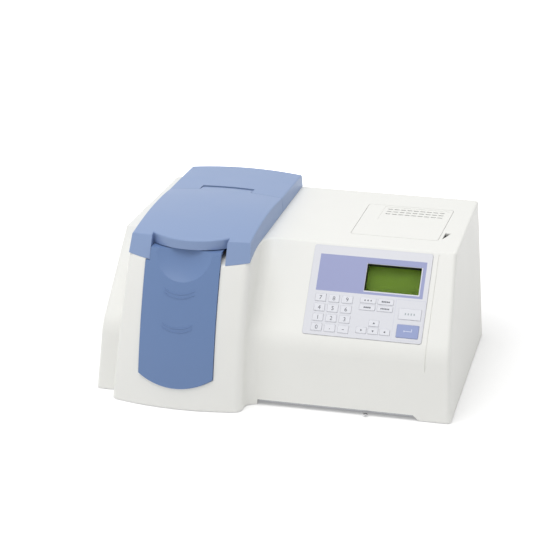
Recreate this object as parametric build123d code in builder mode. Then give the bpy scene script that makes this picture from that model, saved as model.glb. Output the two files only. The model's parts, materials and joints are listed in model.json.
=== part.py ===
from build123d import *
import os
from math import cos, degrees, asin, radians, sin, sqrt, tan

os.makedirs("parts", exist_ok=True)

# Overall size. X runs to the right, Y to the back, Z up. The origin is on the bench, under the
# middle of the instrument's box.
overall_width = 450.0
body_depth = 295.0
tower_reach = 38.5
body_top = 186.5
front_y = tower_reach - (body_depth + tower_reach) / 2
back_y = front_y + body_depth
half_width = overall_width / 2

# Walls, draft and the clearances that pieces share.
wall = 3.0
side_draft = 3.3
side_taper = 2.0
seat_gap = 0.3
seam_gap = 0.8
pin_gap = 0.05
foot_gap = 1.0
arch_top = 7.0

# Side view of the console: a low front, a soft bend, a panel face that leans back, a level top.
front_lean = 8.0
panel_lean = 38.0
crease_y = front_y + 92.0
bend_radius = 45.0
rim_radius = 3.0
side_radius = 5.0
panel_slope = tan(radians(panel_lean))
front_slope = tan(radians(front_lean))

# Sample tower: a front bowed in plan that leans back more and more, between drafted sides.
tower_left = -197.0
tower_left_slope = 0.068
tower_right = -30.0
tower_bow_radius = 300.0
tower_arc_radius = 600.0
tower_arc_centre_z = -60.6
tower_corner_radius = 11.0
tower_top_drop = 10.0
tower_top_run = 58.0
flare_radius = 13.0
tower_x = (tower_left + tower_left_slope * body_top + tower_right) / 2
tower_axis_y = front_y - tower_reach + tower_bow_radius
top_arc_radius = tower_top_run**2 / (2 * tower_top_drop)
top_bend_y = crease_y - flare_radius - 2 * wall
bow_axis = Axis((tower_x, tower_axis_y, 0), (0, 0, 1))
bow_half = 42.0
bow_sweep = 2 * bow_half
form_top = 235.0
tower_core = tower_axis_y - crease_y - 40.0

# Lid strip: the lid in front of the jogged seam, the rear cover behind it.
lid_top = 213.0
lid_left = tower_left + tower_left_slope * body_top + 0.5
lid_right = tower_right - 1.0
lid_draft = 5.0
lid_x = (lid_left + lid_right) / 2
lid_crown_radius = 625.0
lid_arc_radius = 600.0
lid_apex_y = front_y + 125.0
cover_top = 210.2
cover_arc_radius = 3600.0
seam_y = front_y + 187.5
tongue_half = 33.5
tongue_reach = 14.5
cover_back_y = back_y - 0.5
lip_half = 48.0
lip_radius = 76.0
lip_front_y = front_y + 14.0
lip_bottom = 190.8
hinge_y = seam_y + 8.5
hinge_z = 205.4
cover_apex_y = front_y + 120.0
wing_bottom = 175.0
hinge_pin_radius = 1.0
knuckle_radius = 2.2
knuckle_length = 8.0
hinge_ear = 5.0
notch_reach = tongue_reach + 2.0

# Blue panel on the front of the tower, with its finger scoop.
front_panel_x = -112.5
front_panel_half = 47.5
front_panel_top = 186.0
front_panel_corner_z = 41.0
front_panel_low_z = 27.0
front_panel_proud = 2.0
front_panel_inner = -1.9
scoop_radius = 110.4
scoop_centre_z = 232.9
scoop_standoff = 90.7
scoop_wall = 2.6
rib_half = 19.0
rib_thick = 1.0
rib_proud = 0.5
rib_sag = 5.0
rib_heights = (145.0, 140.5, 105.0, 100.5)

# Sample chamber under the lid, and the light beam through it.
beam_y = front_y + 108.0
beam_z = 85.0
plate_bottom = 30.0
plate_top = 36.0
chamber_left = -160.0
chamber_right = -58.0
chamber_front_y = front_y + 38.0
chamber_back_y = front_y + 175.5
chamber_wall = 2.0
chamber_top = 188.0
flange_thick = 1.2
flange_width = 3.0
flange_front_y = front_y + 24.0
seal_front_y = front_y + 35.0
seal_height = 3.0
seal_width = 2.4
port_radius = 6.0
chamber_x = (chamber_left + chamber_right) / 2
chamber_y = (chamber_front_y + chamber_back_y) / 2
chamber_width = chamber_right - chamber_left
chamber_length = chamber_back_y - chamber_front_y

# Cell carriage: four wells in a row, on two rods.
cell_size = 12.8
cell_pitch = 16.0
cell_count = 4
cell_floor = 62.0
carriage_bottom = 46.0
carriage_top = 102.0
carriage_width = 56.0
carriage_post = 24.0
carriage_base_top = 60.0
carriage_length = cell_pitch * cell_count + 8.0
tab_height = 12.0
carriage_window_radius = 4.0
rod_radius = 3.0
rod_spread = 22.0
rod_z = 53.0
slide_gap = 0.1

# Key field and display, set out down the panel face from its upper edge.
bezel_left = 35.0
bezel_right = 183.0
bezel_high = 3.5
bezel_low = 118.5
bezel_thick = 2.0
bezel_proud = 0.8
bezel_corner = 3.0
bezel_ledge = 2.5
window_x = 137.5
window_down = 40.0
window_width = 68.0
window_height = 35.0
window_margin = 3.0
lens_thick = 1.6
glass_thick = 2.2
glass_margin = 1.0
frame_width = 78.0
frame_height = 46.0
tunnel_depth = 8.5
display_board_width = 88.0
display_board_height = 47.0
board_thick = 1.6
key_top = 1.6
key_gap = 0.2
key_flange = 0.8
key_flange_thick = 1.2
key_corner = 1.0
key_bevel = 0.5
dome_radius = 2.5
dome_height = 1.2
post_radius = 1.8
key_columns = (51.8, 68.45, 85.1)
key_rows = (71.2, 83.8, 96.4, 109.0)
digit_size = (13.4, 9.4)
function_columns = (110.9, 132.9)
function_rows = (69.9, 78.8)
function_size = (19.6, 7.0)
arrow_x = 122.0
arrow_step_x = 14.6
arrow_rows = (98.1, 107.9)
arrow_size = (12.6, 7.8)
start_place = (164.4, 82.7)
start_size = (27.8, 13.8)
enter_place = (164.4, 104.4)
enter_size = (27.2, 16.6)
panel_board_left = 38.5
panel_board_right = 181.0
key_board_high = 64.5
key_board_low = 116.5
key_board_posts_x = (40.4, 96.5, 146.6)
key_board_posts_down = (70.0, 110.5)
display_posts_x = (95.6, 179.0)
display_posts_down = (22.0, 58.0)

# Lamp cover in the top, with its vent field, and the finger notch beside it.
lamp_cover_left = 70.0
lamp_cover_right = 180.0
lamp_cover_front_y = front_y + 131.0
lamp_cover_back_y = front_y + 246.0
lamp_cover_ledge = 4.0
lamp_cover_plate = 1.6
lamp_cover_corner = 4.0
lamp_cover_gap = 0.6
vent_field = (84.0, 50.0)
vent_field_depth = 0.5
vent_x = 133.5
vent_y = front_y + 216.0
vent_slot = (6.4, 2.4)
vent_pitch = (8.4, 9.0)
vent_columns = 9
vent_rows = 3
vent_rows_y = front_y + 224.5
notch_left = 184.6
notch_right = 192.0
notch_front_y = front_y + 137.0
notch_back_y = front_y + 160.0
groove_x = 190.0
groove_width = 1.2
groove_depth = 0.9
groove_bottom = 62.0

# Feet and front arch of the housing.
arch_left = tower_right + flare_radius
arch_right = 190.0
arch_slope = 12.0

# Rear wall and what it carries.
rear_window_left = -185.0
rear_window_right = 185.0
rear_window_low = 18.0
rear_window_high = 168.0
rear_overlap = 7.0
rear_plate = 2.0
rear_face_y = back_y - wall - seat_gap
fan_x = 125.0
fan_z = 100.0
fan_size = 60.0
fan_depth = 15.0
fan_bore = 28.5
fan_hub = 12.0
fan_blades = 7
fan_shaft = 2.0
inlet_x = 20.0
inlet_z = 42.0
inlet_flange = (58.0, 26.0)
inlet_hole = (52.0, 20.0)
inlet_depth = 20.0
socket_size = (24.0, 16.4)
socket_shift = -12.0
rocker_shift = 15.5
rocker_size = (13.0, 19.0)
rocker_face = 4.6
rocker_rise = 3.2
rocker_stub = 1.2
inlet_pin = (2.0, 4.4)
inlet_pin_length = 14.0
pin_high = 3.2
pin_apart = 7.0
port_x = -60.0
port_opening = (20.0, 9.6)
port_flange = (34.0, 13.0)
port_screw = 3.4
port_plate = 1.0
port_reach = 5.0

# Pieces inside, standing on the base tray and on the optical base.
tray_low = 4.0
tray_thick = 2.5
tray_top = tray_low + tray_thick
foot_radius = 9.0
foot_hole_radius = 2.5
foot_hole_depth = 2.0
foot_edge = 1.0
front_feet_y = front_y + 22.0
back_feet_y = front_y + 272.0
optics_left = -182.0
optics_right = 178.0
optics_front_y = front_y + 50.0
optics_back_y = front_y + 204.0
boss_radius = 5.0
boss_inset = 12.0
detector_left = -184.0
detector_right = -162.5
detector_half = 16.0
detector_top = 104.0
mono_left = -50.0
mono_right = 60.0
mono_front_y = front_y + 86.0
mono_back_y = front_y + 200.0
mono_top = 130.0
mono_wall = 3.0
mono_cover = 2.0
entry_y = front_y + 150.0
mirror_size = (24.0, 30.0, 5.0)
mirror_foot = (16.0, 10.0)
mirror_inset = 9.0
mirror_turn = 14.0
slit_width = 2.4
slit_height = 12.0
grating_x = 20.0
grating_y = front_y + 125.0
table_radius = 13.0
table_low = plate_top + mono_wall + 2.0
table_high = table_low + 4.0
table_shaft = 2.5
table_post = 5.0
grating_size = (24.0, 5.0, 28.0)
shaft_gap = 0.3
shaft_reach = 6.0
step_motor_radius = 10.0
step_motor_top = plate_bottom - 1.0
wheel_x = 75.0
wheel_y = entry_y + 18.0
wheel_radius = 25.0
wheel_thick = 3.0
wheel_holes = 6
wheel_hole_radius = 5.5
wheel_hole_circle = 18.0
wheel_motor_left = 80.0
wheel_motor_right = 93.0
lamp_left = 96.0
lamp_right = 166.0
lamp_front_y = front_y + 134.0
lamp_back_y = front_y + 200.0
lamp_house_top = 140.0
lamp_wall = 2.0
lamp_x = 130.0
lamp_bulb_radius = 6.0
lamp_neck_radius = 4.5
lamp_socket_size = (22.0, 18.0)
lamp_socket_top = 66.0
lamp_pin_apart = 2.4
lamp_pin_radius = 0.6
lamp_pin_reach = 6.0
lamp_slot = (12.0, 3.0)
board_left = -30.0
board_right = 150.0
board_front_y = front_y + 34.0
board_back_y = front_y + 104.0
board_z = 14.0
chip_size = (14.0, 14.0)
chip_pitch = (42.0, 44.0)
chip_height = 2.6
capacitor_radius = 4.0
supply_left = 70.0
supply_right = 196.0
supply_front_y = front_y + 212.0
supply_back_y = front_y + 272.0
supply_low = tray_top
supply_top = 58.0

# Middles and sizes worked out from the limits above.
lamp_cover_x = (lamp_cover_left + lamp_cover_right) / 2
lamp_cover_y = (lamp_cover_front_y + lamp_cover_back_y) / 2
lamp_cover_width = lamp_cover_right - lamp_cover_left
lamp_cover_length = lamp_cover_back_y - lamp_cover_front_y
rear_window_x = (rear_window_left + rear_window_right) / 2
rear_window_z = (rear_window_low + rear_window_high) / 2
bezel_x = (bezel_left + bezel_right) / 2
bezel_y = -(bezel_high + bezel_low) / 2
bezel_width = bezel_right - bezel_left
bezel_height = bezel_low - bezel_high
panel_plane = Plane(
    origin=(0, crease_y, body_top),
    x_dir=(1, 0, 0),
    z_dir=(0, -cos(radians(panel_lean)), sin(radians(panel_lean))),
)


def console_profile(inset, bottom, top):
    """Side view of the console, standing inside the outer one by the inset."""
    panel_shift = inset / cos(radians(panel_lean))
    front_shift = inset / cos(radians(front_lean))
    corner_z = (front_y + front_shift - crease_y - panel_shift + body_top * panel_slope) / (
        panel_slope - front_slope
    )
    corner_y = front_y + front_shift + corner_z * front_slope
    low_y = front_y + front_shift + bottom * front_slope
    top_y = crease_y + panel_shift + (top - body_top) * panel_slope
    with BuildSketch(Plane.YZ.offset(-half_width)) as profile:
        with BuildLine():
            FilletPolyline(
                (low_y, bottom), (corner_y, corner_z), (top_y, top), radius=bend_radius + inset
            )
            Polyline(
                (top_y, top), (back_y - inset, top), (back_y - inset, bottom), (low_y, bottom)
            )
        make_face()
    return profile.sketch


def side_plane(side, inset):
    """The drafted and tapered side wall: side is 1 on the right and -1 on the left."""
    return Plane(
        origin=(side * (half_width - inset), front_y, 0),
        z_dir=(side, tan(radians(side_taper)), tan(radians(side_draft))),
    )


def tower_front(z):
    """Distance of the tower's front from its bow axis at height z."""
    base = sqrt(tower_arc_radius**2 - tower_arc_centre_z**2)
    return tower_bow_radius - base + sqrt(tower_arc_radius**2 - (z - tower_arc_centre_z) ** 2)


def tower_section(outer, inner, bottom, top):
    """Section of the tower's front from its outer face inwards; inner None fills it to the core."""
    outward = Vector(0, -1, 0).rotate(Axis.Z, -bow_half)
    upright = Plane(
        origin=(tower_x, tower_axis_y, 0), x_dir=outward, z_dir=outward.cross(Vector(0, 0, 1))
    )
    middle = (bottom + top) / 2
    low = (tower_front(bottom) + outer, bottom)
    high = (tower_front(top) + outer, top)
    with BuildSketch(upright) as section:
        with BuildLine():
            ThreePointArc(low, (tower_front(middle) + outer, middle), high)
            if inner is None:
                Polyline(high, (tower_core, top), (tower_core, bottom), low)
            else:
                inner_low = (tower_front(bottom) + inner, bottom)
                inner_high = (tower_front(top) + inner, top)
                Line(high, inner_high)
                ThreePointArc(inner_high, (tower_front(middle) + inner, middle), inner_low)
                Line(inner_low, low)
        make_face()
    return section.sketch


def tower_side(side, inset):
    """The tower's side walls: upright on the right, drafted on the left."""
    if side > 0:
        return Plane(origin=(tower_right - inset, 0, 0), z_dir=(1, 0, 0))
    return Plane(origin=(tower_left + inset, 0, 0), z_dir=(-1, 0, tower_left_slope))


def above_top(gap):
    """Side view of all that lies above the housing's top, a gap higher than its surface."""
    front_end = top_bend_y - 2 * tower_top_run
    run = top_bend_y - front_end
    drop = top_arc_radius - sqrt(top_arc_radius**2 - run**2)
    half_drop = top_arc_radius - sqrt(top_arc_radius**2 - (run / 2) ** 2)
    level = body_top + gap
    with BuildSketch(Plane.YZ.offset(-half_width)) as profile:
        with BuildLine():
            ThreePointArc(
                (front_end, level - drop),
                (top_bend_y - run / 2, level - half_drop),
                (top_bend_y, level),
            )
            Polyline(
                (top_bend_y, level),
                (back_y + wall, level),
                (back_y + wall, form_top + wall),
                (front_end, form_top + wall),
                (front_end, level - drop),
            )
        make_face()
    return profile.sketch


def front_panel_outline(grow):
    """Front view of the blue panel: straight sides and a smiling lower edge."""
    half = front_panel_half + grow
    with BuildSketch(Plane.XZ.offset(-front_y)) as outline:
        with BuildLine():
            ThreePointArc(
                (front_panel_x - half, front_panel_corner_z - grow),
                (front_panel_x, front_panel_low_z - grow),
                (front_panel_x + half, front_panel_corner_z - grow),
            )
            Polyline(
                (front_panel_x + half, front_panel_corner_z - grow),
                (front_panel_x + half, form_top),
                (front_panel_x - half, form_top),
                (front_panel_x - half, front_panel_corner_z - grow),
            )
        make_face()
    return outline.sketch


scoop_centre = Plane(
    origin=(
        front_panel_x,
        tower_axis_y - tower_front(front_panel_top) - front_panel_proud - scoop_standoff,
        scoop_centre_z,
    )
)

def block(left, right, front, back, low, high):
    """A straight block between the given limits."""
    with BuildPart() as solid:
        with BuildSketch(Plane.XY.offset(low)):
            with Locations(((left + right) / 2, (front + back) / 2)):
                Rectangle(right - left, back - front)
        extrude(amount=high - low)
    return solid.part


def panel_block(x, down, width, height, low, high):
    """A block square to the panel face, between two levels along its normal."""
    with BuildPart() as solid:
        with BuildSketch(panel_plane.offset(low)):
            with Locations((x, -down)):
                Rectangle(width, height)
        extrude(amount=high - low)
    return solid.part


def rod(plane, radius, length):
    """A round rod that starts on a plane and runs along its normal."""
    with BuildPart() as solid:
        with BuildSketch(plane):
            Circle(radius)
        extrude(amount=length)
    return solid.part


def cross_rod(x, y, z, radius, length):
    """A round rod that runs to the right from the given point."""
    return rod(Plane(origin=(x, y, z), x_dir=(0, 1, 0), z_dir=(1, 0, 0)), radius, length)


def upright_rod(x, y, z, radius, length):
    """A round rod that stands on the given point."""
    return rod(Plane(origin=(x, y, z)), radius, length)


def back_rod(x, y, z, radius, length):
    """A round rod that runs to the back from the given point."""
    return rod(Plane(origin=(x, y, z), x_dir=(1, 0, 0), z_dir=(0, 1, 0)), radius, length)


# Main housing
with BuildPart() as console_form:
    extrude(console_profile(0, foot_gap, form_top), amount=overall_width)
    split(bisect_by=side_plane(1, 0), keep=Keep.BOTTOM)
    split(bisect_by=side_plane(-1, 0), keep=Keep.BOTTOM)

with BuildPart() as tower_form:
    revolve(tower_section(0, None, foot_gap, form_top), axis=bow_axis, revolution_arc=bow_sweep)
    split(bisect_by=tower_side(1, 0), keep=Keep.BOTTOM)
    split(bisect_by=tower_side(-1, 0), keep=Keep.BOTTOM)
    fillet(
        tower_form.edges().filter_by(
            lambda edge: edge.length > body_top and edge.center().Y < crease_y
        ),
        tower_corner_radius,
    )

with BuildPart() as console_cavity:
    extrude(console_profile(wall, -wall, form_top), amount=overall_width)
    split(bisect_by=side_plane(1, wall), keep=Keep.BOTTOM)
    split(bisect_by=side_plane(-1, wall), keep=Keep.BOTTOM)
    extrude(above_top(-wall), amount=overall_width, mode=Mode.SUBTRACT)

with BuildPart() as tower_cavity:
    revolve(tower_section(-2 * wall, None, -wall, form_top), axis=bow_axis, revolution_arc=bow_sweep)
    split(bisect_by=tower_side(1, wall), keep=Keep.BOTTOM)
    split(bisect_by=tower_side(-1, wall), keep=Keep.BOTTOM)
    extrude(above_top(-wall), amount=overall_width, mode=Mode.SUBTRACT)


def is_flare_corner(edge):
    """The corner where the tower's right side meets the console's front."""
    return (
        abs(edge.center().X - tower_right) < seat_gap
        and edge.center().Z < form_top - wall
        and edge.bounding_box().min.Y > front_y - wall
    )


def is_console_corner(edge):
    """The upright corners of the console, front and back."""
    return edge.bounding_box().size.Z > 2 * wall and abs(edge.center().X) > -tower_left + wall


def is_top_rim(edge):
    """The rim round the housing's top, without the line where its curve begins."""
    box = edge.bounding_box()
    curve_start = box.size.Y < seat_gap and abs(edge.center().Y - top_bend_y) < seat_gap
    return box.min.Z > body_top - 2 * tower_top_drop and not curve_start


with BuildPart() as panel_groove:
    extrude(console_profile(-wall, groove_bottom, body_top - rim_radius), amount=overall_width)
    extrude(console_profile(groove_depth, -wall, form_top), amount=overall_width, mode=Mode.SUBTRACT)
    with BuildSketch(Plane.YZ.offset(groove_x - groove_width / 2)):
        with Locations((0, body_top / 2)):
            Rectangle(2 * body_depth, 2 * body_top)
    extrude(amount=groove_width, mode=Mode.INTERSECT)

with BuildPart() as panel_seat:
    revolve(
        tower_section(wall, front_panel_inner - seat_gap, foot_gap, form_top),
        axis=bow_axis,
        revolution_arc=bow_sweep,
    )
    extrude(front_panel_outline(seam_gap), amount=body_depth, both=True, mode=Mode.INTERSECT)

with BuildPart() as main_housing:
    add(console_form.part)
    add(tower_form.part)
    fillet(main_housing.edges().filter_by(is_flare_corner), flare_radius)
    fillet(main_housing.edges().filter_by(is_console_corner), side_radius)
    extrude(above_top(0), amount=overall_width, mode=Mode.SUBTRACT)
    fillet(main_housing.edges().filter_by(is_top_rim), rim_radius)
    add(console_cavity.part, mode=Mode.SUBTRACT)
    add(tower_cavity.part, mode=Mode.SUBTRACT)
    add(panel_seat.part, mode=Mode.SUBTRACT)
    add(panel_groove.part, mode=Mode.SUBTRACT)
    with BuildPart(scoop_centre, mode=Mode.SUBTRACT):
        Sphere(scoop_radius + scoop_wall + seat_gap)
    with BuildSketch(Plane.XY.offset(body_top)):
        with Locations((chamber_x, chamber_y)):
            Rectangle(chamber_width + 2 * seam_gap, chamber_length + 2 * seam_gap)
    extrude(amount=-6 * wall, mode=Mode.SUBTRACT)
    with BuildSketch(Plane.XY.offset(body_top)):
        with Locations((lamp_cover_x, lamp_cover_y)):
            RectangleRounded(
                lamp_cover_width + 2 * lamp_cover_gap,
                lamp_cover_length + 2 * lamp_cover_gap,
                lamp_cover_corner + lamp_cover_gap,
            )
    extrude(amount=-lamp_cover_plate - seat_gap, mode=Mode.SUBTRACT)
    with BuildSketch(Plane.XY.offset(body_top)):
        with Locations((lamp_cover_x, lamp_cover_y)):
            Rectangle(
                lamp_cover_width - 2 * lamp_cover_ledge, lamp_cover_length - 2 * lamp_cover_ledge
            )
        Polygon(
            (notch_left, notch_front_y),
            (notch_right, notch_back_y),
            (notch_left, notch_back_y),
            align=None,
        )
    extrude(amount=-2 * wall, mode=Mode.SUBTRACT)
    with BuildSketch(panel_plane):
        with Locations((bezel_x, bezel_y)):
            RectangleRounded(
                bezel_width + 2 * seat_gap, bezel_height + 2 * seat_gap, bezel_corner + seat_gap
            )
    extrude(amount=bezel_proud - bezel_thick - seat_gap, mode=Mode.SUBTRACT)
    with BuildSketch(panel_plane):
        with Locations((bezel_x, bezel_y)):
            Rectangle(bezel_width - 2 * bezel_ledge, bezel_height - 2 * bezel_ledge)
    extrude(amount=-2 * wall, mode=Mode.SUBTRACT)
    with BuildSketch(Plane.XZ.offset(-back_y)):
        with Locations((rear_window_x, rear_window_z)):
            RectangleRounded(
                rear_window_right - rear_window_left, rear_window_high - rear_window_low, 2 * wall
            )
    extrude(amount=2 * wall, mode=Mode.SUBTRACT)
    with BuildSketch(Plane.XZ.offset(wall - front_y)):
        Polygon(
            (arch_left, -wall),
            (arch_right, -wall),
            (arch_right - arch_slope, arch_top),
            (arch_left, arch_top),
            align=None,
        )
    extrude(amount=-5 * wall, mode=Mode.SUBTRACT)
    with BuildSketch(Plane.XZ.offset(-back_y - wall)):
        with Locations((0, 0)):
            Rectangle(rear_window_right - rear_window_left, 2 * arch_top)
    extrude(amount=3 * wall, mode=Mode.SUBTRACT)
main_housing.part.label = "main_housing"
export_step(main_housing.part, "parts/main_housing.step")


def crowned_block(top, arc_radius, apex_y, bottom):
    """A block whose top is arched along the instrument and crowned across it."""
    reach = body_depth * 0.75
    turn = degrees(asin(reach / arc_radius)) if reach < arc_radius else 30.0
    lean = radians(turn)
    start = Plane(
        origin=(lid_x, apex_y, top - arc_radius),
        x_dir=(1, 0, 0),
        z_dir=(0, -cos(lean), -sin(lean)),
    )
    half = (lid_right - lid_left) / 2 + 4 * wall
    drop = lid_crown_radius - sqrt(lid_crown_radius**2 - half**2)
    depth = arc_radius - (top - bottom)
    with BuildSketch(start) as section:
        with BuildLine():
            ThreePointArc((-half, arc_radius - drop), (0, arc_radius), (half, arc_radius - drop))
            Polyline(
                (half, arc_radius - drop), (half, depth), (-half, depth), (-half, arc_radius - drop)
            )
        make_face()
    with BuildPart() as block:
        revolve(
            section.sketch,
            axis=Axis((lid_x, apex_y, top - arc_radius), (-1, 0, 0)),
            revolution_arc=2 * turn,
        )
    return block.part


def lid_side(side, inset):
    """The drafted side faces of the lid strip."""
    edge = lid_right - inset if side > 0 else lid_left + inset
    return Plane(origin=(edge, 0, body_top), z_dir=(side, 0, tan(radians(lid_draft))))


def lip_outline(inset):
    """Plan of the lid behind its curved front lip."""
    with BuildSketch(Plane.XY.offset(body_top - 4 * wall)) as outline:
        with Locations((lid_x, lip_front_y + lip_radius)):
            Circle(lip_radius - inset)
        with Locations((lid_x, lip_front_y + lip_radius / 2)):
            Rectangle(2 * (lip_half - inset), lip_radius, mode=Mode.INTERSECT)
    return outline.sketch


def is_lid_rim(edge):
    """The rim round the lid strip's top, without the seam between lid and cover."""
    box = edge.bounding_box()
    side_rim = box.size.Y > 8 * wall and box.size.X < 2 * wall
    front_rim = box.max.Y < lip_end_y + seam_gap and box.size.Y > wall
    return box.min.Z > lip_bottom + 2 * wall and (side_rim or front_rim)


lip_floor = body_top - 24 * wall
lip_end_y = lip_front_y + lip_radius - sqrt(lip_radius**2 - lip_half**2)
front_reach = 130.0
lid_rim_radius = 2.0
lid_block = crowned_block(lid_top, lid_arc_radius, lid_apex_y, body_top - 4 * wall)
lid_core = crowned_block(lid_top - wall, lid_arc_radius - wall, lid_apex_y, body_top - 8 * wall)

with BuildPart() as lid_lip:
    add(lid_block)
    extrude(lip_outline(0), amount=form_top, mode=Mode.INTERSECT)
    split(bisect_by=Plane.XY.offset(lip_bottom), keep=Keep.TOP)

with BuildPart() as lid_lip_core:
    add(lid_core)
    extrude(lip_outline(wall), amount=form_top, mode=Mode.INTERSECT)

with BuildPart() as lid_hollow:
    add(lid_core)
    revolve(
        tower_section(front_reach, -wall, lip_floor, form_top),
        axis=bow_axis,
        revolution_arc=bow_sweep,
        mode=Mode.SUBTRACT,
    )
    split(bisect_by=lid_side(1, wall), keep=Keep.BOTTOM)
    split(bisect_by=lid_side(-1, wall), keep=Keep.BOTTOM)
    split(bisect_by=Plane.XZ.offset(wall - seam_y), keep=Keep.TOP)
    with BuildSketch(Plane.XY.offset(lip_floor)):
        with Locations((lid_x, front_y)):
            Rectangle(2 * (lip_half + wall), 2 * (lip_end_y - front_y + wall))
    extrude(amount=form_top, mode=Mode.SUBTRACT)
    add(lid_lip_core.part)
    add(
        block(
            lid_x - lip_half + wall,
            lid_x + lip_half - wall,
            front_y,
            lip_end_y + 2 * wall,
            lip_floor,
            lip_bottom,
        )
    )

with BuildPart() as press_rib:
    add(
        block(
            chamber_left - flange_width,
            chamber_right + flange_width,
            seal_front_y,
            chamber_back_y + flange_width,
            chamber_top + seal_height + seat_gap,
            lid_top,
        )
    )
    add(
        block(
            chamber_left - flange_width + seal_width,
            chamber_right + flange_width - seal_width,
            seal_front_y + seal_width,
            chamber_back_y + flange_width - seal_width,
            chamber_top,
            lid_top,
        ),
        mode=Mode.SUBTRACT,
    )
    add(
        crowned_block(lid_top - wall / 2, lid_arc_radius - wall / 2, lid_apex_y, body_top - 4 * wall),
        mode=Mode.INTERSECT,
    )

with BuildPart() as sample_lid:
    add(lid_block)
    revolve(
        tower_section(front_reach, 0, lip_floor, form_top),
        axis=bow_axis,
        revolution_arc=bow_sweep,
        mode=Mode.SUBTRACT,
    )
    with BuildSketch(Plane.XY.offset(lip_floor)):
        with Locations((lid_x, front_y)):
            Rectangle(2 * lip_half, 2 * (lip_end_y - front_y))
    extrude(amount=form_top, mode=Mode.SUBTRACT)
    add(lid_lip.part)
    split(bisect_by=lid_side(1, 0), keep=Keep.BOTTOM)
    split(bisect_by=lid_side(-1, 0), keep=Keep.BOTTOM)
    extrude(above_top(seat_gap), amount=overall_width, mode=Mode.INTERSECT)
    with BuildSketch(Plane.XY.offset(lip_floor)):
        with Locations((lid_x, seam_y + body_depth / 2)):
            Rectangle(overall_width, body_depth)
        with Locations((lid_x, seam_y + tongue_reach / 2)):
            Rectangle(2 * tongue_half, tongue_reach, mode=Mode.SUBTRACT)
    extrude(amount=form_top, mode=Mode.SUBTRACT)
    fillet(sample_lid.edges().filter_by(is_lid_rim), lid_rim_radius)
    add(lid_hollow.part, mode=Mode.SUBTRACT)
    add(
        block(
            lid_x - tongue_half - wall,
            lid_x + tongue_half + wall,
            seam_y,
            seam_y + 2 * tongue_reach,
            lip_floor,
            hinge_z,
        ),
        mode=Mode.SUBTRACT,
    )
    for start in (lid_x - tongue_half, lid_x + tongue_half - knuckle_length):
        add(cross_rod(start, hinge_y, hinge_z, knuckle_radius, knuckle_length))
        add(
            cross_rod(start, hinge_y, hinge_z, hinge_pin_radius + pin_gap, knuckle_length),
            mode=Mode.SUBTRACT,
        )
    add(press_rib.part)
sample_lid.part.label = "sample_lid"
export_step(sample_lid.part, "parts/sample_lid.step")

# Rear top cover
cover_bottom = body_top - 4 * wall
cover_block = crowned_block(cover_top, cover_arc_radius, cover_apex_y, cover_bottom)
cover_core = crowned_block(cover_top - wall, cover_arc_radius - wall, cover_apex_y, cover_bottom)
cover_front_y = seam_y + seam_gap

with BuildPart() as cover_hollow:
    add(cover_core)
    split(bisect_by=lid_side(1, wall), keep=Keep.BOTTOM)
    split(bisect_by=lid_side(-1, wall), keep=Keep.BOTTOM)
    split(bisect_by=Plane.XZ.offset(-cover_front_y - wall), keep=Keep.BOTTOM)
    split(bisect_by=Plane.XZ.offset(wall - cover_back_y), keep=Keep.TOP)

with BuildPart() as rear_top_cover:
    add(cover_block)
    split(bisect_by=lid_side(1, 0), keep=Keep.BOTTOM)
    split(bisect_by=lid_side(-1, 0), keep=Keep.BOTTOM)
    split(bisect_by=Plane.XZ.offset(-cover_front_y), keep=Keep.BOTTOM)
    split(bisect_by=Plane.XZ.offset(-cover_back_y), keep=Keep.TOP)
    extrude(above_top(seat_gap), amount=overall_width, mode=Mode.INTERSECT)
    fillet(rear_top_cover.edges().filter_by(is_lid_rim), lid_rim_radius)
    add(cover_hollow.part, mode=Mode.SUBTRACT)
    add(
        block(
            lid_x - tongue_half - seam_gap,
            lid_x + tongue_half + seam_gap,
            seam_y,
            seam_y + notch_reach,
            cover_bottom,
            form_top,
        ),
        mode=Mode.SUBTRACT,
    )
    for side in (-1, 1):
        ear_near = lid_x + side * (tongue_half + seam_gap)
        ear_far = ear_near + side * hinge_ear
        add(
            block(
                min(ear_near, ear_far),
                max(ear_near, ear_far),
                hinge_y - hinge_ear / 2,
                hinge_y + hinge_ear / 2,
                hinge_z - hinge_ear / 2,
                hinge_z + hinge_ear / 4,
            )
        )
        add(
            cross_rod(
                min(ear_near, ear_far), hinge_y, hinge_z, hinge_pin_radius + pin_gap, hinge_ear
            ),
            mode=Mode.SUBTRACT,
        )
rear_top_cover.part.label = "rear_top_cover"
export_step(rear_top_cover.part, "parts/rear_top_cover.step")

# Hinge pins
pin_length = knuckle_length + seam_gap + hinge_ear - wall / 2
with BuildPart() as hinge_pins:
    for pin_start in (
        lid_x - tongue_half - seam_gap - hinge_ear + wall / 4,
        lid_x + tongue_half - knuckle_length + wall / 4,
    ):
        add(cross_rod(pin_start, hinge_y, hinge_z, hinge_pin_radius, pin_length))
hinge_pins.part.label = "hinge_pins"
export_step(hinge_pins.part, "parts/hinge_pins.step")

# Blue front panel with the finger scoop
with BuildPart() as scoop_bowl:
    with BuildSketch(Plane.XY.offset(front_panel_low_z)):
        with Locations((front_panel_x, front_y)):
            Rectangle(2 * front_panel_half, body_depth)
    extrude(amount=front_panel_top - front_panel_low_z)
    with BuildPart(scoop_centre, mode=Mode.INTERSECT):
        Sphere(scoop_radius + scoop_wall)
    revolve(
        tower_section(front_panel_proud, None, foot_gap, form_top),
        axis=bow_axis,
        revolution_arc=bow_sweep,
        mode=Mode.INTERSECT,
    )

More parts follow.
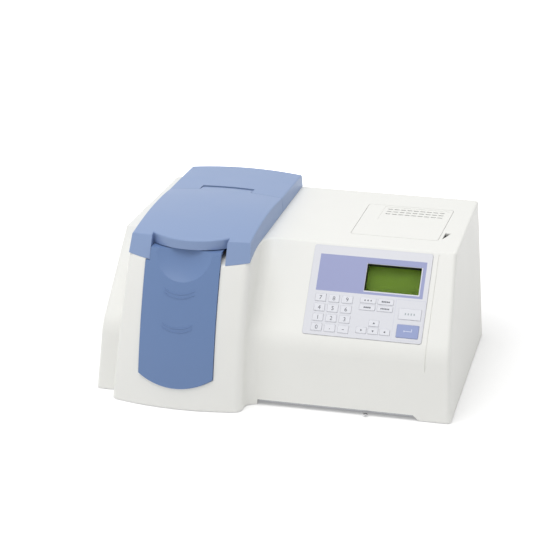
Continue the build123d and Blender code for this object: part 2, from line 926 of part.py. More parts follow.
with BuildPart() as grip_ribs:
    with BuildSketch(Plane.XZ.offset(-front_y)):
        for rib_z in rib_heights:
            with BuildLine():
                ThreePointArc(
                    (front_panel_x - rib_half, rib_z),
                    (front_panel_x, rib_z - rib_sag),
                    (front_panel_x + rib_half, rib_z),
                )
                Line(
                    (front_panel_x + rib_half, rib_z), (front_panel_x + rib_half, rib_z + rib_thick)
                )
                ThreePointArc(
                    (front_panel_x + rib_half, rib_z + rib_thick),
                    (front_panel_x, rib_z + rib_thick - rib_sag),
                    (front_panel_x - rib_half, rib_z + rib_thick),
                )
                Line(
                    (front_panel_x - rib_half, rib_z + rib_thick), (front_panel_x - rib_half, rib_z)
                )
            make_face()
    extrude(amount=body_depth, both=True)
    revolve(
        tower_section(front_panel_proud + rib_proud, 0, foot_gap, form_top),
        axis=bow_axis,
        revolution_arc=bow_sweep,
        mode=Mode.INTERSECT,
    )

with BuildPart() as front_panel:
    revolve(
        tower_section(front_panel_proud, front_panel_inner, foot_gap, form_top),
        axis=bow_axis,
        revolution_arc=bow_sweep,
    )
    extrude(front_panel_outline(0), amount=body_depth, both=True, mode=Mode.INTERSECT)
    split(bisect_by=Plane.XY.offset(front_panel_top), keep=Keep.BOTTOM)
    add(scoop_bowl.part)
    add(grip_ribs.part)
    with BuildPart(scoop_centre, mode=Mode.SUBTRACT):
        Sphere(scoop_radius)
    add(
        block(
            front_panel_x - 2 * front_panel_half,
            lid_x - lip_half + seam_gap,
            front_y - tower_reach,
            crease_y,
            wing_bottom - seam_gap,
            form_top,
        ),
        mode=Mode.SUBTRACT,
    )
front_panel.part.label = "front_panel"
export_step(front_panel.part, "parts/front_panel.step")

# Panel bezel: the dark key field and display surround
key_places = {
    "key_start": (start_place, start_size),
    "key_enter": (enter_place, enter_size),
    "key_up": ((arrow_x, arrow_rows[0]), arrow_size),
    "key_left": ((arrow_x - arrow_step_x, arrow_rows[1]), arrow_size),
    "key_down": ((arrow_x, arrow_rows[1]), arrow_size),
    "key_right": ((arrow_x + arrow_step_x, arrow_rows[1]), arrow_size),
}
digit_names = (("7", "8", "9"), ("4", "5", "6"), ("1", "2", "3"), ("0", "point", "minus"))
for row_names, key_down in zip(digit_names, key_rows):
    for digit_name, key_x in zip(row_names, key_columns):
        key_places["key_" + digit_name] = ((key_x, key_down), digit_size)
for row_number, key_down in enumerate(function_rows):
    for column_number, key_x in enumerate(function_columns):
        function_name = "key_f" + str(2 * row_number + column_number + 1)
        key_places[function_name] = ((key_x, key_down), function_size)

bezel_low_level = bezel_proud - bezel_thick
collar_level = bezel_low_level - seat_gap
window_level = collar_level - tunnel_depth - seat_gap - lens_thick
glass_level = window_level - seat_gap - glass_thick
frame_level = glass_level - seat_gap
display_board_level = frame_level - board_thick
flange_level = bezel_low_level - seat_gap - key_flange_thick
dome_level = flange_level - seat_gap
key_board_level = dome_level - dome_height - board_thick

with BuildPart() as panel_bezel:
    with BuildSketch(panel_plane.offset(bezel_low_level)):
        with Locations((bezel_x, bezel_y)):
            RectangleRounded(bezel_width, bezel_height, bezel_corner)
        with Locations((window_x, -window_down)):
            RectangleRounded(window_width, window_height, key_corner, mode=Mode.SUBTRACT)
        for (key_x, key_down), (key_width, key_height) in key_places.values():
            with Locations((key_x, -key_down)):
                RectangleRounded(
                    key_width + 2 * key_gap, key_height + 2 * key_gap, key_corner, mode=Mode.SUBTRACT
                )
    extrude(amount=bezel_thick)
    with BuildSketch(panel_plane.offset(key_board_level + board_thick)):
        for post_x in key_board_posts_x:
            with Locations(*[(post_x, -post_down) for post_down in key_board_posts_down]):
                Circle(post_radius)
    extrude(amount=bezel_low_level - key_board_level - board_thick)
    with BuildSketch(panel_plane.offset(frame_level)):
        for post_x in display_posts_x:
            with Locations(*[(post_x, -post_down) for post_down in display_posts_down]):
                Circle(post_radius)
    extrude(amount=bezel_low_level - frame_level)
panel_bezel.part.label = "panel_bezel"
export_step(panel_bezel.part, "parts/panel_bezel.step")

# Display window
with BuildPart() as display_window:
    with BuildSketch(panel_plane.offset(window_level)):
        with Locations((window_x, -window_down)):
            RectangleRounded(
                window_width + 2 * window_margin, window_height + 2 * window_margin, key_corner
            )
    extrude(amount=lens_thick)
display_window.part.label = "display_window"
export_step(display_window.part, "parts/display_window.step")

# Display glass
with BuildPart() as display_glass:
    with BuildSketch(panel_plane.offset(glass_level)):
        with Locations((window_x, -window_down)):
            Rectangle(window_width + 2 * glass_margin, window_height + 2 * glass_margin)
    extrude(amount=glass_thick)
display_glass.part.label = "display_glass"
export_step(display_glass.part, "parts/display_glass.step")

# Display frame: a deep black tunnel in front of the glass, and the display's own board behind it
with BuildPart() as display_frame:
    add(
        panel_block(
            window_x, window_down, frame_width, frame_height, display_board_level, collar_level
        )
    )
    add(
        panel_block(
            window_x,
            window_down,
            display_board_width,
            display_board_height,
            display_board_level,
            frame_level,
        )
    )
    add(
        panel_block(window_x, window_down, window_width, window_height, window_level, bezel_proud),
        mode=Mode.SUBTRACT,
    )
    add(
        panel_block(
            window_x,
            window_down,
            window_width + 2 * window_margin + 2 * seat_gap,
            window_height + 2 * window_margin + 2 * seat_gap,
            frame_level,
            window_level + lens_thick + seat_gap,
        ),
        mode=Mode.SUBTRACT,
    )
display_frame.part.label = "display_frame"
export_step(display_frame.part, "parts/display_frame.step")

# Key board with a spring dome under each key
with BuildPart() as key_board:
    add(
        panel_block(
            (panel_board_left + panel_board_right) / 2,
            (key_board_high + key_board_low) / 2,
            panel_board_right - panel_board_left,
            key_board_low - key_board_high,
            key_board_level,
            key_board_level + board_thick,
        )
    )
    with BuildSketch(panel_plane.offset(key_board_level + board_thick)):
        with Locations(*[(place[0], -place[1]) for place, size in key_places.values()]):
            Circle(dome_radius)
    extrude(amount=dome_height, taper=30)
key_board.part.label = "key_board"
export_step(key_board.part, "parts/key_board.step")

# Keys
for key_name, ((key_x, key_down), (key_width, key_height)) in key_places.items():
    with BuildPart() as key_cap:
        with BuildSketch(panel_plane.offset(flange_level)):
            with Locations((key_x, -key_down)):
                Rectangle(key_width + 2 * key_flange, key_height + 2 * key_flange)
        extrude(amount=key_flange_thick)
        with BuildSketch(panel_plane.offset(flange_level)):
            with Locations((key_x, -key_down)):
                RectangleRounded(key_width, key_height, key_corner)
        extrude(amount=key_top - flange_level)
        chamfer(key_cap.faces().sort_by(Axis((0, 0, 0), panel_plane.z_dir))[-1].edges(), key_bevel)
    key_cap.part.label = key_name
    export_step(key_cap.part, "parts/" + key_name + ".step")

# Lamp cover with its vent field
with BuildPart() as lamp_cover:
    with BuildSketch(Plane.XY.offset(body_top)):
        with Locations((lamp_cover_x, lamp_cover_y)):
            RectangleRounded(lamp_cover_width, lamp_cover_length, lamp_cover_corner)
    extrude(amount=-lamp_cover_plate)
    with BuildSketch(Plane.XY.offset(body_top)):
        with Locations((vent_x, vent_y)):
            Rectangle(vent_field[0], vent_field[1])
    extrude(amount=-vent_field_depth, mode=Mode.SUBTRACT)
    with BuildSketch(Plane.XY.offset(body_top)):
        with Locations((vent_x, vent_rows_y)):
            with GridLocations(vent_pitch[0], vent_pitch[1], vent_columns, vent_rows):
                Rectangle(vent_slot[0], vent_slot[1])
    extrude(amount=-2 * lamp_cover_plate, mode=Mode.SUBTRACT)
    with BuildSketch(Plane.XY.offset(body_top - lamp_cover_plate)):
        with Locations((lamp_cover_x, lamp_cover_y)):
            Rectangle(
                lamp_cover_width - 2 * lamp_cover_ledge - 2 * seat_gap,
                lamp_cover_length - 2 * lamp_cover_ledge - 2 * seat_gap,
            )
            Rectangle(
                lamp_cover_width - 2 * lamp_cover_ledge - 2 * seat_gap - 2 * lamp_cover_plate,
                lamp_cover_length - 2 * lamp_cover_ledge - 2 * seat_gap - 2 * lamp_cover_plate,
                mode=Mode.SUBTRACT,
            )
    extrude(amount=-2 * wall)
lamp_cover.part.label = "lamp_cover"
export_step(lamp_cover.part, "parts/lamp_cover.step")

# Rear panel with the fan grille and the cut-outs for inlet and data port
grille_bar = 2.4
grille_rings = (8.0, 16.0, 24.0)
rear_low = tray_top
rear_high = rear_window_high + rear_overlap
with BuildPart() as rear_panel:
    add(
        block(
            rear_window_left - rear_overlap,
            rear_window_right + rear_overlap,
            rear_face_y - rear_plate,
            rear_face_y,
            rear_low,
            rear_high,
        )
    )
    with BuildSketch(Plane.XZ.offset(-rear_face_y)):
        with Locations((fan_x, fan_z)):
            Circle(fan_bore)
            for ring in grille_rings:
                Circle(ring + grille_bar / 2, mode=Mode.SUBTRACT)
                if ring > grille_rings[0]:
                    Circle(ring - grille_bar / 2)
            Rectangle(2 * fan_bore, grille_bar, mode=Mode.SUBTRACT)
            Rectangle(grille_bar, 2 * fan_bore, mode=Mode.SUBTRACT)
        with Locations((inlet_x, inlet_z)):
            Rectangle(inlet_hole[0] + 2 * seat_gap, inlet_hole[1] + 2 * seat_gap)
        with Locations((port_x, inlet_z)):
            Rectangle(port_opening[0] + 2 * seat_gap, port_opening[1] + 2 * seat_gap)
    extrude(amount=rear_plate, mode=Mode.SUBTRACT)
rear_panel.part.label = "rear_panel"
export_step(rear_panel.part, "parts/rear_panel.step")

# Fan frame
fan_front_y = rear_face_y - rear_plate - fan_depth
with BuildPart() as fan_frame:
    with BuildSketch(Plane.XZ.offset(-fan_front_y)):
        with Locations((fan_x, fan_z)):
            RectangleRounded(fan_size, fan_size, wall)
            Circle(fan_bore, mode=Mode.SUBTRACT)
    extrude(amount=-fan_depth)
    with BuildSketch(Plane.XZ.offset(-fan_front_y)):
        with Locations((fan_x, fan_z)):
            Circle(fan_hub)
            Rectangle(2 * fan_bore + wall, wall)
            Rectangle(wall, 2 * fan_bore + wall)
    extrude(amount=-wall)
    add(back_rod(fan_x, fan_front_y, fan_z, fan_shaft, fan_depth - wall))
fan_frame.part.label = "fan_frame"
export_step(fan_frame.part, "parts/fan_frame.step")

# Fan rotor
blade_pitch = 360.0 / fan_blades
rotor_low_y = fan_front_y + wall + seam_gap
rotor_depth = fan_depth - 2 * wall
blade_thick = 1.4
blade_lean = 35.0
with BuildPart() as fan_rotor:
    add(back_rod(fan_x, rotor_low_y, fan_z, fan_hub, rotor_depth))
    for blade_number in range(fan_blades):
        blade_plane = Plane(
            origin=(fan_x, rotor_low_y + rotor_depth / 2, fan_z),
            x_dir=(0, 1, 0),
            z_dir=(
                cos(radians(blade_number * blade_pitch)),
                0,
                sin(radians(blade_number * blade_pitch)),
            ),
        )
        with BuildSketch(blade_plane.offset(fan_hub - seam_gap)):
            Rectangle(rotor_depth, blade_thick, rotation=blade_lean)
        extrude(amount=fan_bore - fan_hub - seam_gap)
    add(
        back_rod(fan_x, rotor_low_y, fan_z, fan_shaft + pin_gap, rotor_depth),
        mode=Mode.SUBTRACT,
    )
fan_rotor.part.label = "fan_rotor"
export_step(fan_rotor.part, "parts/fan_rotor.step")

rocker_x = inlet_x + rocker_shift
rocker_y = rear_face_y - wall
rocker_radius = rocker_size[1] / 2 - seat_gap

# Power inlet module: flange, socket with three blades, opening for the rocker
with BuildPart() as power_inlet:
    with BuildSketch(Plane.XZ.offset(-rear_face_y)):
        with Locations((inlet_x, inlet_z)):
            RectangleRounded(inlet_flange[0], inlet_flange[1], wall)
    extrude(amount=-rear_plate)
    with BuildSketch(Plane.XZ.offset(-rear_face_y)):
        with Locations((inlet_x, inlet_z)):
            Rectangle(inlet_hole[0], inlet_hole[1])
    extrude(amount=inlet_depth)
    with BuildSketch(Plane.XZ.offset(-rear_face_y - rear_plate)):
        with Locations((inlet_x + socket_shift, inlet_z)):
            Rectangle(socket_size[0], socket_size[1])
        with Locations((inlet_x + rocker_shift, inlet_z)):
            Rectangle(rocker_size[0] + 2 * seat_gap, rocker_size[1] - 2 * seat_gap)
    extrude(amount=inlet_depth - wall, mode=Mode.SUBTRACT)
    with BuildSketch(Plane.XZ.offset(-rear_face_y + inlet_depth - wall)):
        with Locations((inlet_x + socket_shift, inlet_z)):
            with Locations((0, pin_high), (-pin_apart, -pin_high), (pin_apart, -pin_high)):
                Rectangle(inlet_pin[0], inlet_pin[1])
    extrude(amount=-inlet_pin_length)
    add(
        cross_rod(
            rocker_x - rocker_size[0] / 2 - 2 * rocker_stub,
            rocker_y,
            inlet_z,
            hinge_pin_radius + pin_gap,
            rocker_size[0] + 4 * rocker_stub,
        ),
        mode=Mode.SUBTRACT,
    )
power_inlet.part.label = "power_inlet"
export_step(power_inlet.part, "parts/power_inlet.step")

# Power switch rocker
with BuildPart() as power_switch:
    add(cross_rod(rocker_x - rocker_size[0] / 2, rocker_y, inlet_z, rocker_radius, rocker_size[0]))
    with BuildSketch(Plane.YZ.offset(rocker_x - rocker_size[0])):
        Polygon(
            (rocker_y - rocker_size[1], inlet_z - rocker_size[1]),
            (rocker_y + rocker_face + rocker_rise, inlet_z - rocker_size[1]),
            (rocker_y + rocker_face, inlet_z),
            (rocker_y + rocker_face + rocker_rise, inlet_z + rocker_size[1]),
            (rocker_y - rocker_size[1], inlet_z + rocker_size[1]),
            align=None,
        )
    extrude(amount=2 * rocker_size[0], mode=Mode.INTERSECT)
    add(
        cross_rod(
            rocker_x - rocker_size[0] / 2 - rocker_stub,
            rocker_y,
            inlet_z,
            hinge_pin_radius,
            rocker_size[0] + 2 * rocker_stub,
        )
    )
power_switch.part.label = "power_switch"
export_step(power_switch.part, "parts/power_switch.step")

# Data port
with BuildPart() as data_port:
    with BuildSketch(Plane.XZ.offset(-rear_face_y)):
        with Locations((port_x, inlet_z)):
            Rectangle(port_flange[0], port_flange[1])
            with GridLocations(port_flange[0] - 2 * port_screw, 0, 2, 1):
                Circle(port_screw / 2, mode=Mode.SUBTRACT)
    extrude(amount=-port_plate)
    with BuildSketch(Plane.XZ.offset(-rear_face_y)):
        with Locations((port_x, inlet_z)):
            Rectangle(port_opening[0], port_opening[1])
    extrude(amount=-port_reach)
    with BuildSketch(Plane.XZ.offset(-rear_face_y)):
        with Locations((port_x, inlet_z)):
            Rectangle(port_opening[0], port_opening[1])
    extrude(amount=2 * port_reach)
    with BuildSketch(Plane.XZ.offset(-rear_face_y - port_reach)):
        with Locations((port_x, inlet_z)):
            Rectangle(port_opening[0] - 2 * port_plate, port_opening[1] - 2 * port_plate)
    extrude(amount=port_reach, mode=Mode.SUBTRACT)
data_port.part.label = "data_port"
export_step(data_port.part, "parts/data_port.step")

# Base tray
tray_gap = wall + seat_gap
tray_front_y = front_y + tray_gap + tray_top * front_slope
tray_front_half = half_width - tray_gap - tray_top * tan(radians(side_draft)) - seat_gap
tray_back_half = tray_front_half - body_depth * tan(radians(side_taper))
tray_bow_radius = tower_front(tray_low) - 2 * wall - seat_gap
tray_left = tower_left + tower_left_slope * tray_top + tray_gap
standoff_places = (
    (board_left + boss_radius, board_front_y + boss_radius),
    (board_right - boss_radius, board_front_y + boss_radius),
    (board_left + boss_radius, board_back_y - boss_radius),
    (board_right - boss_radius, board_back_y - boss_radius),
)
boss_places = (
    (optics_left + boss_inset, optics_front_y + boss_inset),
    (optics_right - boss_inset, optics_front_y + boss_inset),
    (optics_left + boss_inset, optics_back_y - boss_inset),
    (optics_right - boss_inset, optics_back_y - boss_inset),
)
feet_places = (
    (tower_left + 3 * foot_radius, front_feet_y),
    (arch_right + foot_radius, front_feet_y),
    (tower_left + 2 * foot_radius, back_feet_y),
    (arch_right - foot_radius, back_feet_y),
)
with BuildPart() as base_tray:
    with BuildSketch(Plane.XY.offset(tray_low)):
        Polygon(
            (-tray_front_half, tray_front_y),
            (tray_front_half, tray_front_y),
            (tray_back_half, back_y - tray_gap),
            (-tray_back_half, back_y - tray_gap),
            align=None,
        )
        with BuildSketch(Plane.XY.offset(tray_low)):
            with Locations((tower_x, tower_axis_y)):
                Circle(tray_bow_radius)
            with Locations(((tray_left + tower_right - tray_gap) / 2, front_y)):
                Rectangle(
                    tower_right - tray_gap - tray_left, 4 * tower_reach, mode=Mode.INTERSECT
                )
    extrude(amount=tray_thick)
    with BuildSketch(Plane.XY.offset(tray_low)):
        for boss_place in boss_places:
            with Locations(boss_place):
                Circle(boss_radius)
    extrude(amount=plate_bottom - tray_low)
    with BuildSketch(Plane.XY.offset(tray_low)):
        for standoff_place in standoff_places:
            with Locations(standoff_place):
                Circle(boss_radius / 2)
    extrude(amount=board_z - tray_low)
    with BuildSketch(Plane.XY.offset(tray_low)):
        for foot_place in feet_places:
            with Locations(foot_place):
                Circle(foot_hole_radius)
    extrude(amount=foot_hole_depth, mode=Mode.SUBTRACT)
base_tray.part.label = "base_tray"
export_step(base_tray.part, "parts/base_tray.step")

# Rubber feet
with BuildPart() as rubber_feet:
    for foot_place in feet_places:
        add(upright_rod(foot_place[0], foot_place[1], 0, foot_radius, tray_low))
        add(
            upright_rod(
                foot_place[0],
                foot_place[1],
                tray_low,
                foot_hole_radius - seat_gap,
                foot_hole_depth - seat_gap,
            )
        )
    chamfer(rubber_feet.edges().group_by(Axis.Z)[0], foot_edge)
rubber_feet.part.label = "rubber_feet"
export_step(rubber_feet.part, "parts/rubber_feet.step")

# Optical base
with BuildPart() as optical_base:
    add(block(optics_left, optics_right, optics_front_y, optics_back_y, plate_bottom, plate_top))
    fillet(optical_base.edges().filter_by(Axis.Z), boss_inset)
    add(
        upright_rod(
            grating_x, grating_y, plate_bottom, table_shaft + shaft_gap, plate_top - plate_bottom
        ),
        mode=Mode.SUBTRACT,
    )
optical_base.part.label = "optical_base"
export_step(optical_base.part, "parts/optical_base.step")

# Chamber liner: a black tub with a flange and a port for the beam in each side
with BuildPart() as chamber_liner:
    add(
        block(
            chamber_left, chamber_right, chamber_front_y, chamber_back_y, plate_top, chamber_top
        )
    )
    add(
        block(
            chamber_left - flange_width,
            chamber_right + flange_width,
            seal_front_y,
            chamber_back_y + flange_width,
            chamber_top - flange_thick,
            chamber_top,
        )
    )
    add(
        block(
            lid_x - lip_half + wall + seam_gap,
            lid_x + lip_half - wall - seam_gap,
            flange_front_y,
            seal_front_y,
            chamber_top - flange_thick,
            chamber_top,
        )
    )
    add(
        block(
            chamber_left + chamber_wall,
            chamber_right - chamber_wall,
            chamber_front_y + chamber_wall,
            chamber_back_y - chamber_wall,
            plate_top + chamber_wall,
            form_top,
        ),
        mode=Mode.SUBTRACT,
    )
    add(
        cross_rod(
            chamber_left - wall, beam_y, beam_z, port_radius, chamber_width + 2 * wall
        ),
        mode=Mode.SUBTRACT,
    )
chamber_liner.part.label = "chamber_liner"
export_step(chamber_liner.part, "parts/chamber_liner.step")

# Chamber seal
with BuildPart() as chamber_seal:
    add(
        block(
            chamber_left - flange_width,
            chamber_right + flange_width,
            seal_front_y,
            chamber_back_y + flange_width,
            chamber_top,
            chamber_top + seal_height,
        )
    )
    add(
        block(
            chamber_left - flange_width + seal_width,
            chamber_right + flange_width - seal_width,
            seal_front_y + seal_width,
            chamber_back_y + flange_width - seal_width,
            chamber_top,
            chamber_top + seal_height,
        ),
        mode=Mode.SUBTRACT,
    )
chamber_seal.part.label = "chamber_seal"
export_step(chamber_seal.part, "parts/chamber_seal.step")

# Carriage rods
with BuildPart() as carriage_rods:
    for rod_x in (chamber_x - rod_spread, chamber_x + rod_spread):
        add(
            back_rod(
                rod_x,
                chamber_front_y + chamber_wall,
                rod_z,
                rod_radius,
                chamber_length - 2 * chamber_wall,
            )
        )
carriage_rods.part.label = "carriage_rods"
export_step(carriage_rods.part, "parts/carriage_rods.step")

# Cell carriage with four wells
carriage_y = beam_y - cell_pitch / 2
with BuildPart() as cell_carriage:
    add(
        block(
            chamber_x - carriage_width / 2,
            chamber_x + carriage_width / 2,
            carriage_y - carriage_length / 2,
            carriage_y + carriage_length / 2,
            carriage_bottom,
            carriage_base_top,
        )
    )
    add(
        block(
            chamber_x - carriage_post / 2,
            chamber_x + carriage_post / 2,
            carriage_y - carriage_length / 2,
            carriage_y + carriage_length / 2,
            carriage_base_top,
            carriage_top,
        )
    )
    add(
        block(
            chamber_x - carriage_post / 4,
            chamber_x + carriage_post / 4,
            carriage_y - carriage_length / 2,
            carriage_y - carriage_length / 2 + wall,
            carriage_top,
            carriage_top + tab_height,
        )
    )
    with BuildSketch(Plane.XY.offset(cell_floor)):
        with Locations((chamber_x, carriage_y)):
            with GridLocations(0, cell_pitch, 1, cell_count):
                Rectangle(cell_size, cell_size)
    extrude(amount=carriage_top, mode=Mode.SUBTRACT)
    with BuildSketch(Plane.YZ.offset(chamber_x - carriage_post)):
        with Locations((carriage_y, beam_z)):
            with GridLocations(cell_pitch, 0, cell_count, 1):
                Circle(carriage_window_radius)
    extrude(amount=2 * carriage_post, mode=Mode.SUBTRACT)
    for rod_x in (chamber_x - rod_spread, chamber_x + rod_spread):
        add(
            back_rod(
                rod_x,
                carriage_y - carriage_length / 2,
                rod_z,
                rod_radius + slide_gap,
                carriage_length,
            ),
            mode=Mode.SUBTRACT,
        )
cell_carriage.part.label = "cell_carriage"
export_step(cell_carriage.part, "parts/cell_carriage.step")

# Detector unit
with BuildPart() as detector_unit:
    add(
        block(
            detector_left,
            detector_right,
            beam_y - detector_half,
            beam_y + detector_half,
            plate_top,
            detector_top,
        )
    )
    chamfer(detector_unit.edges().filter_by(Axis.Z), wall)
    add(
        cross_rod(detector_right - port_radius, beam_y, beam_z, port_radius, 2 * port_radius),
        mode=Mode.SUBTRACT,
    )
detector_unit.part.label = "detector_unit"
export_step(detector_unit.part, "parts/detector_unit.step")

# Monochromator case with its two slits
with BuildPart() as monochromator_case:
    add(block(mono_left, mono_right, mono_front_y, mono_back_y, plate_top, mono_top))
    fillet(monochromator_case.edges().filter_by(Axis.Z), wall)
    add(
        block(
            mono_left + mono_wall,
            mono_right - mono_wall,
            mono_front_y + mono_wall,
            mono_back_y - mono_wall,
            plate_top + mono_wall,
            form_top,
        ),
        mode=Mode.SUBTRACT,
    )
    with BuildSketch(Plane.YZ.offset(mono_left - mono_wall)):
        with Locations((beam_y, beam_z)):
            Rectangle(slit_width, slit_height)
    extrude(amount=3 * mono_wall, mode=Mode.SUBTRACT)
    with BuildSketch(Plane.YZ.offset(mono_right - 2 * mono_wall)):
        with Locations((entry_y, beam_z)):
            Rectangle(slit_width, slit_height)
    extrude(amount=3 * mono_wall, mode=Mode.SUBTRACT)
    add(
        upright_rod(grating_x, grating_y, plate_top, table_shaft + shaft_gap, 2 * mono_wall),
        mode=Mode.SUBTRACT,
    )
monochromator_case.part.label = "monochromator_case"
export_step(monochromator_case.part, "parts/monochromator_case.step")

# Monochromator cover
with BuildPart() as monochromator_cover:
    add(block(mono_left, mono_right, mono_front_y, mono_back_y, mono_top, mono_top + mono_cover))
    fillet(monochromator_cover.edges().filter_by(Axis.Z), wall)
    add(
        block(
            mono_left + mono_wall + seat_gap,
            mono_right - mono_wall - seat_gap,
            mono_front_y + mono_wall + seat_gap,
            mono_back_y - mono_wall - seat_gap,
            mono_top - mono_cover,
            mono_top,
        )
    )
monochromator_cover.part.label = "monochromator_cover"
export_step(monochromator_cover.part, "parts/monochromator_cover.step")

# Mirrors: one turns the light to the grating, one sends it on to the exit slit
mirror_stands = (
    (mono_left + mono_wall + mirror_inset, entry_y, mirror_turn),
    (mono_right - mono_wall - mirror_inset, beam_y, mirror_turn),
)
with BuildPart() as beam_mirrors:
    for mirror_x, mirror_y, turn in mirror_stands:
        add(
            block(
                mirror_x - mirror_foot[1] / 2,
                mirror_x + mirror_foot[1] / 2,
                mirror_y - mirror_foot[0] / 2,
                mirror_y + mirror_foot[0] / 2,
                plate_top + mono_wall,
                beam_z - mirror_size[1] / 2,
            )
        )
        with BuildSketch(Plane.XY.offset(beam_z - mirror_size[1] / 2)):
            with Locations((mirror_x, mirror_y)):
                Rectangle(mirror_size[2], mirror_size[0], rotation=turn)
        extrude(amount=mirror_size[1])
beam_mirrors.part.label = "beam_mirrors"
export_step(beam_mirrors.part, "parts/beam_mirrors.step")

# Grating table on its shaft
with BuildPart() as grating_table:
    add(upright_rod(grating_x, grating_y, table_low, table_radius, table_high - table_low))
    add(
        upright_rod(
            grating_x,
            grating_y,
            step_motor_top - shaft_reach,
            table_shaft,
            table_low + shaft_reach - step_motor_top,
        )
    )
    add(
        upright_rod(
            grating_x, grating_y, table_high, table_post, beam_z - grating_size[2] / 2 - table_high
        )
    )
grating_table.part.label = "grating_table"
export_step(grating_table.part, "parts/grating_table.step")

# Grating
with BuildPart() as grating:
    add(
        block(
            grating_x - grating_size[0] / 2,
            grating_x + grating_size[0] / 2,
            grating_y - grating_size[1] / 2,
            grating_y + grating_size[1] / 2,
            beam_z - grating_size[2] / 2,
            beam_z + grating_size[2] / 2,
        )
    )
grating.part.label = "grating"
export_step(grating.part, "parts/grating.step")

# Grating motor under the optical base
with BuildPart() as grating_motor:
    add(
        upright_rod(
            grating_x, grating_y, tray_top, step_motor_radius, step_motor_top - tray_top
        )
    )
    add(
        upright_rod(
            grating_x,
            grating_y,
            step_motor_top - shaft_reach - seam_gap,
            table_shaft + shaft_gap,
            shaft_reach + seam_gap,
        ),
        mode=Mode.SUBTRACT,
    )
grating_motor.part.label = "grating_motor"
export_step(grating_motor.part, "parts/grating_motor.step")

# Filter wheel
with BuildPart() as filter_wheel:
    with BuildSketch(Plane.YZ.offset(wheel_x)):
        with Locations((wheel_y, beam_z)):
            Circle(wheel_radius)
            with PolarLocations(wheel_hole_circle, wheel_holes):
                Circle(wheel_hole_radius, mode=Mode.SUBTRACT)
    extrude(amount=wheel_thick)
    add(
        cross_rod(
            wheel_x + wheel_thick,
            wheel_y,
            beam_z,
            hinge_pin_radius,
            wheel_motor_right - wheel_x - wheel_thick - wall,
        )
    )
filter_wheel.part.label = "filter_wheel"
export_step(filter_wheel.part, "parts/filter_wheel.step")

# Filter motor on its foot
with BuildPart() as filter_motor:
    add(
        cross_rod(
            wheel_motor_left,
            wheel_y,
            beam_z,
            step_motor_radius,
            wheel_motor_right - wheel_motor_left,
        )
    )
    add(
        block(
            wheel_motor_left,
            wheel_motor_right,
            wheel_y - step_motor_radius / 2,
            wheel_y + step_motor_radius / 2,
            plate_top,
            beam_z - step_motor_radius / 2,
        )
    )
    add(
        cross_rod(
            wheel_motor_left - wall,
            wheel_y,
            beam_z,
            hinge_pin_radius + shaft_gap,
            wheel_motor_right - wheel_motor_left,
        ),
        mode=Mode.SUBTRACT,
    )
filter_motor.part.label = "filter_motor"
export_step(filter_motor.part, "parts/filter_motor.step")

# Lamp house, open at the top under the vent field
with BuildPart() as lamp_house:
    add(block(lamp_left, lamp_right, lamp_front_y, lamp_back_y, plate_top, lamp_house_top))
    add(
        block(
            lamp_left + lamp_wall,
            lamp_right - lamp_wall,
            lamp_front_y + lamp_wall,
            lamp_back_y - lamp_wall,
            plate_top + lamp_wall,
            lamp_house_top + wall,
        ),
        mode=Mode.SUBTRACT,
    )
    add(
        cross_rod(lamp_left - wall, entry_y, beam_z, port_radius, 2 * wall),
        mode=Mode.SUBTRACT,
    )
    with BuildSketch(Plane.XZ.offset(-lamp_back_y - wall)):
        with Locations(((lamp_left + lamp_right) / 2, beam_z)):
            with GridLocations(lamp_slot[0] + 2 * wall, 2 * wall + lamp_slot[1], 3, 6):
                Rectangle(lamp_slot[0], lamp_slot[1])
    extrude(amount=2 * wall, mode=Mode.SUBTRACT)
lamp_house.part.label = "lamp_house"
export_step(lamp_house.part, "parts/lamp_house.step")

# Lamp socket
with BuildPart() as lamp_socket:
    add(
        block(
            lamp_x - lamp_socket_size[0] / 2,
            lamp_x + lamp_socket_size[0] / 2,
            entry_y - lamp_socket_size[1] / 2 + wall,
            entry_y + lamp_socket_size[1] / 2 + wall,
            plate_top + lamp_wall,
            lamp_socket_top,
        )
    )
    chamfer(lamp_socket.edges().group_by(Axis.Z)[-1], foot_edge)
    for pin_x in (lamp_x - lamp_pin_apart, lamp_x + lamp_pin_apart):
        add(
            upright_rod(
                pin_x,
                entry_y,
                lamp_socket_top - lamp_pin_reach,
                lamp_pin_radius + seat_gap,
                2 * lamp_pin_reach,
            ),
            mode=Mode.SUBTRACT,
        )
lamp_socket.part.label = "lamp_socket"
export_step(lamp_socket.part, "parts/lamp_socket.step")

# Halogen lamp
with BuildPart() as halogen_lamp:
    add(
        upright_rod(
            lamp_x, entry_y, lamp_socket_top + seat_gap, lamp_neck_radius, beam_z - lamp_socket_top
        )
    )
    add(
        upright_rod(
            lamp_x,
            entry_y,
            beam_z - lamp_bulb_radius,
            lamp_bulb_radius,
            2 * lamp_bulb_radius,
        )
    )
    with Locations((lamp_x, entry_y, beam_z + lamp_bulb_radius)):
        Sphere(lamp_bulb_radius)
    for pin_x in (lamp_x - lamp_pin_apart, lamp_x + lamp_pin_apart):
        add(
            upright_rod(
                pin_x,
                entry_y,
                lamp_socket_top - lamp_pin_reach + seat_gap,
                lamp_pin_radius,
                lamp_pin_reach,
            )
        )
halogen_lamp.part.label = "halogen_lamp"
export_step(halogen_lamp.part, "parts/halogen_lamp.step")

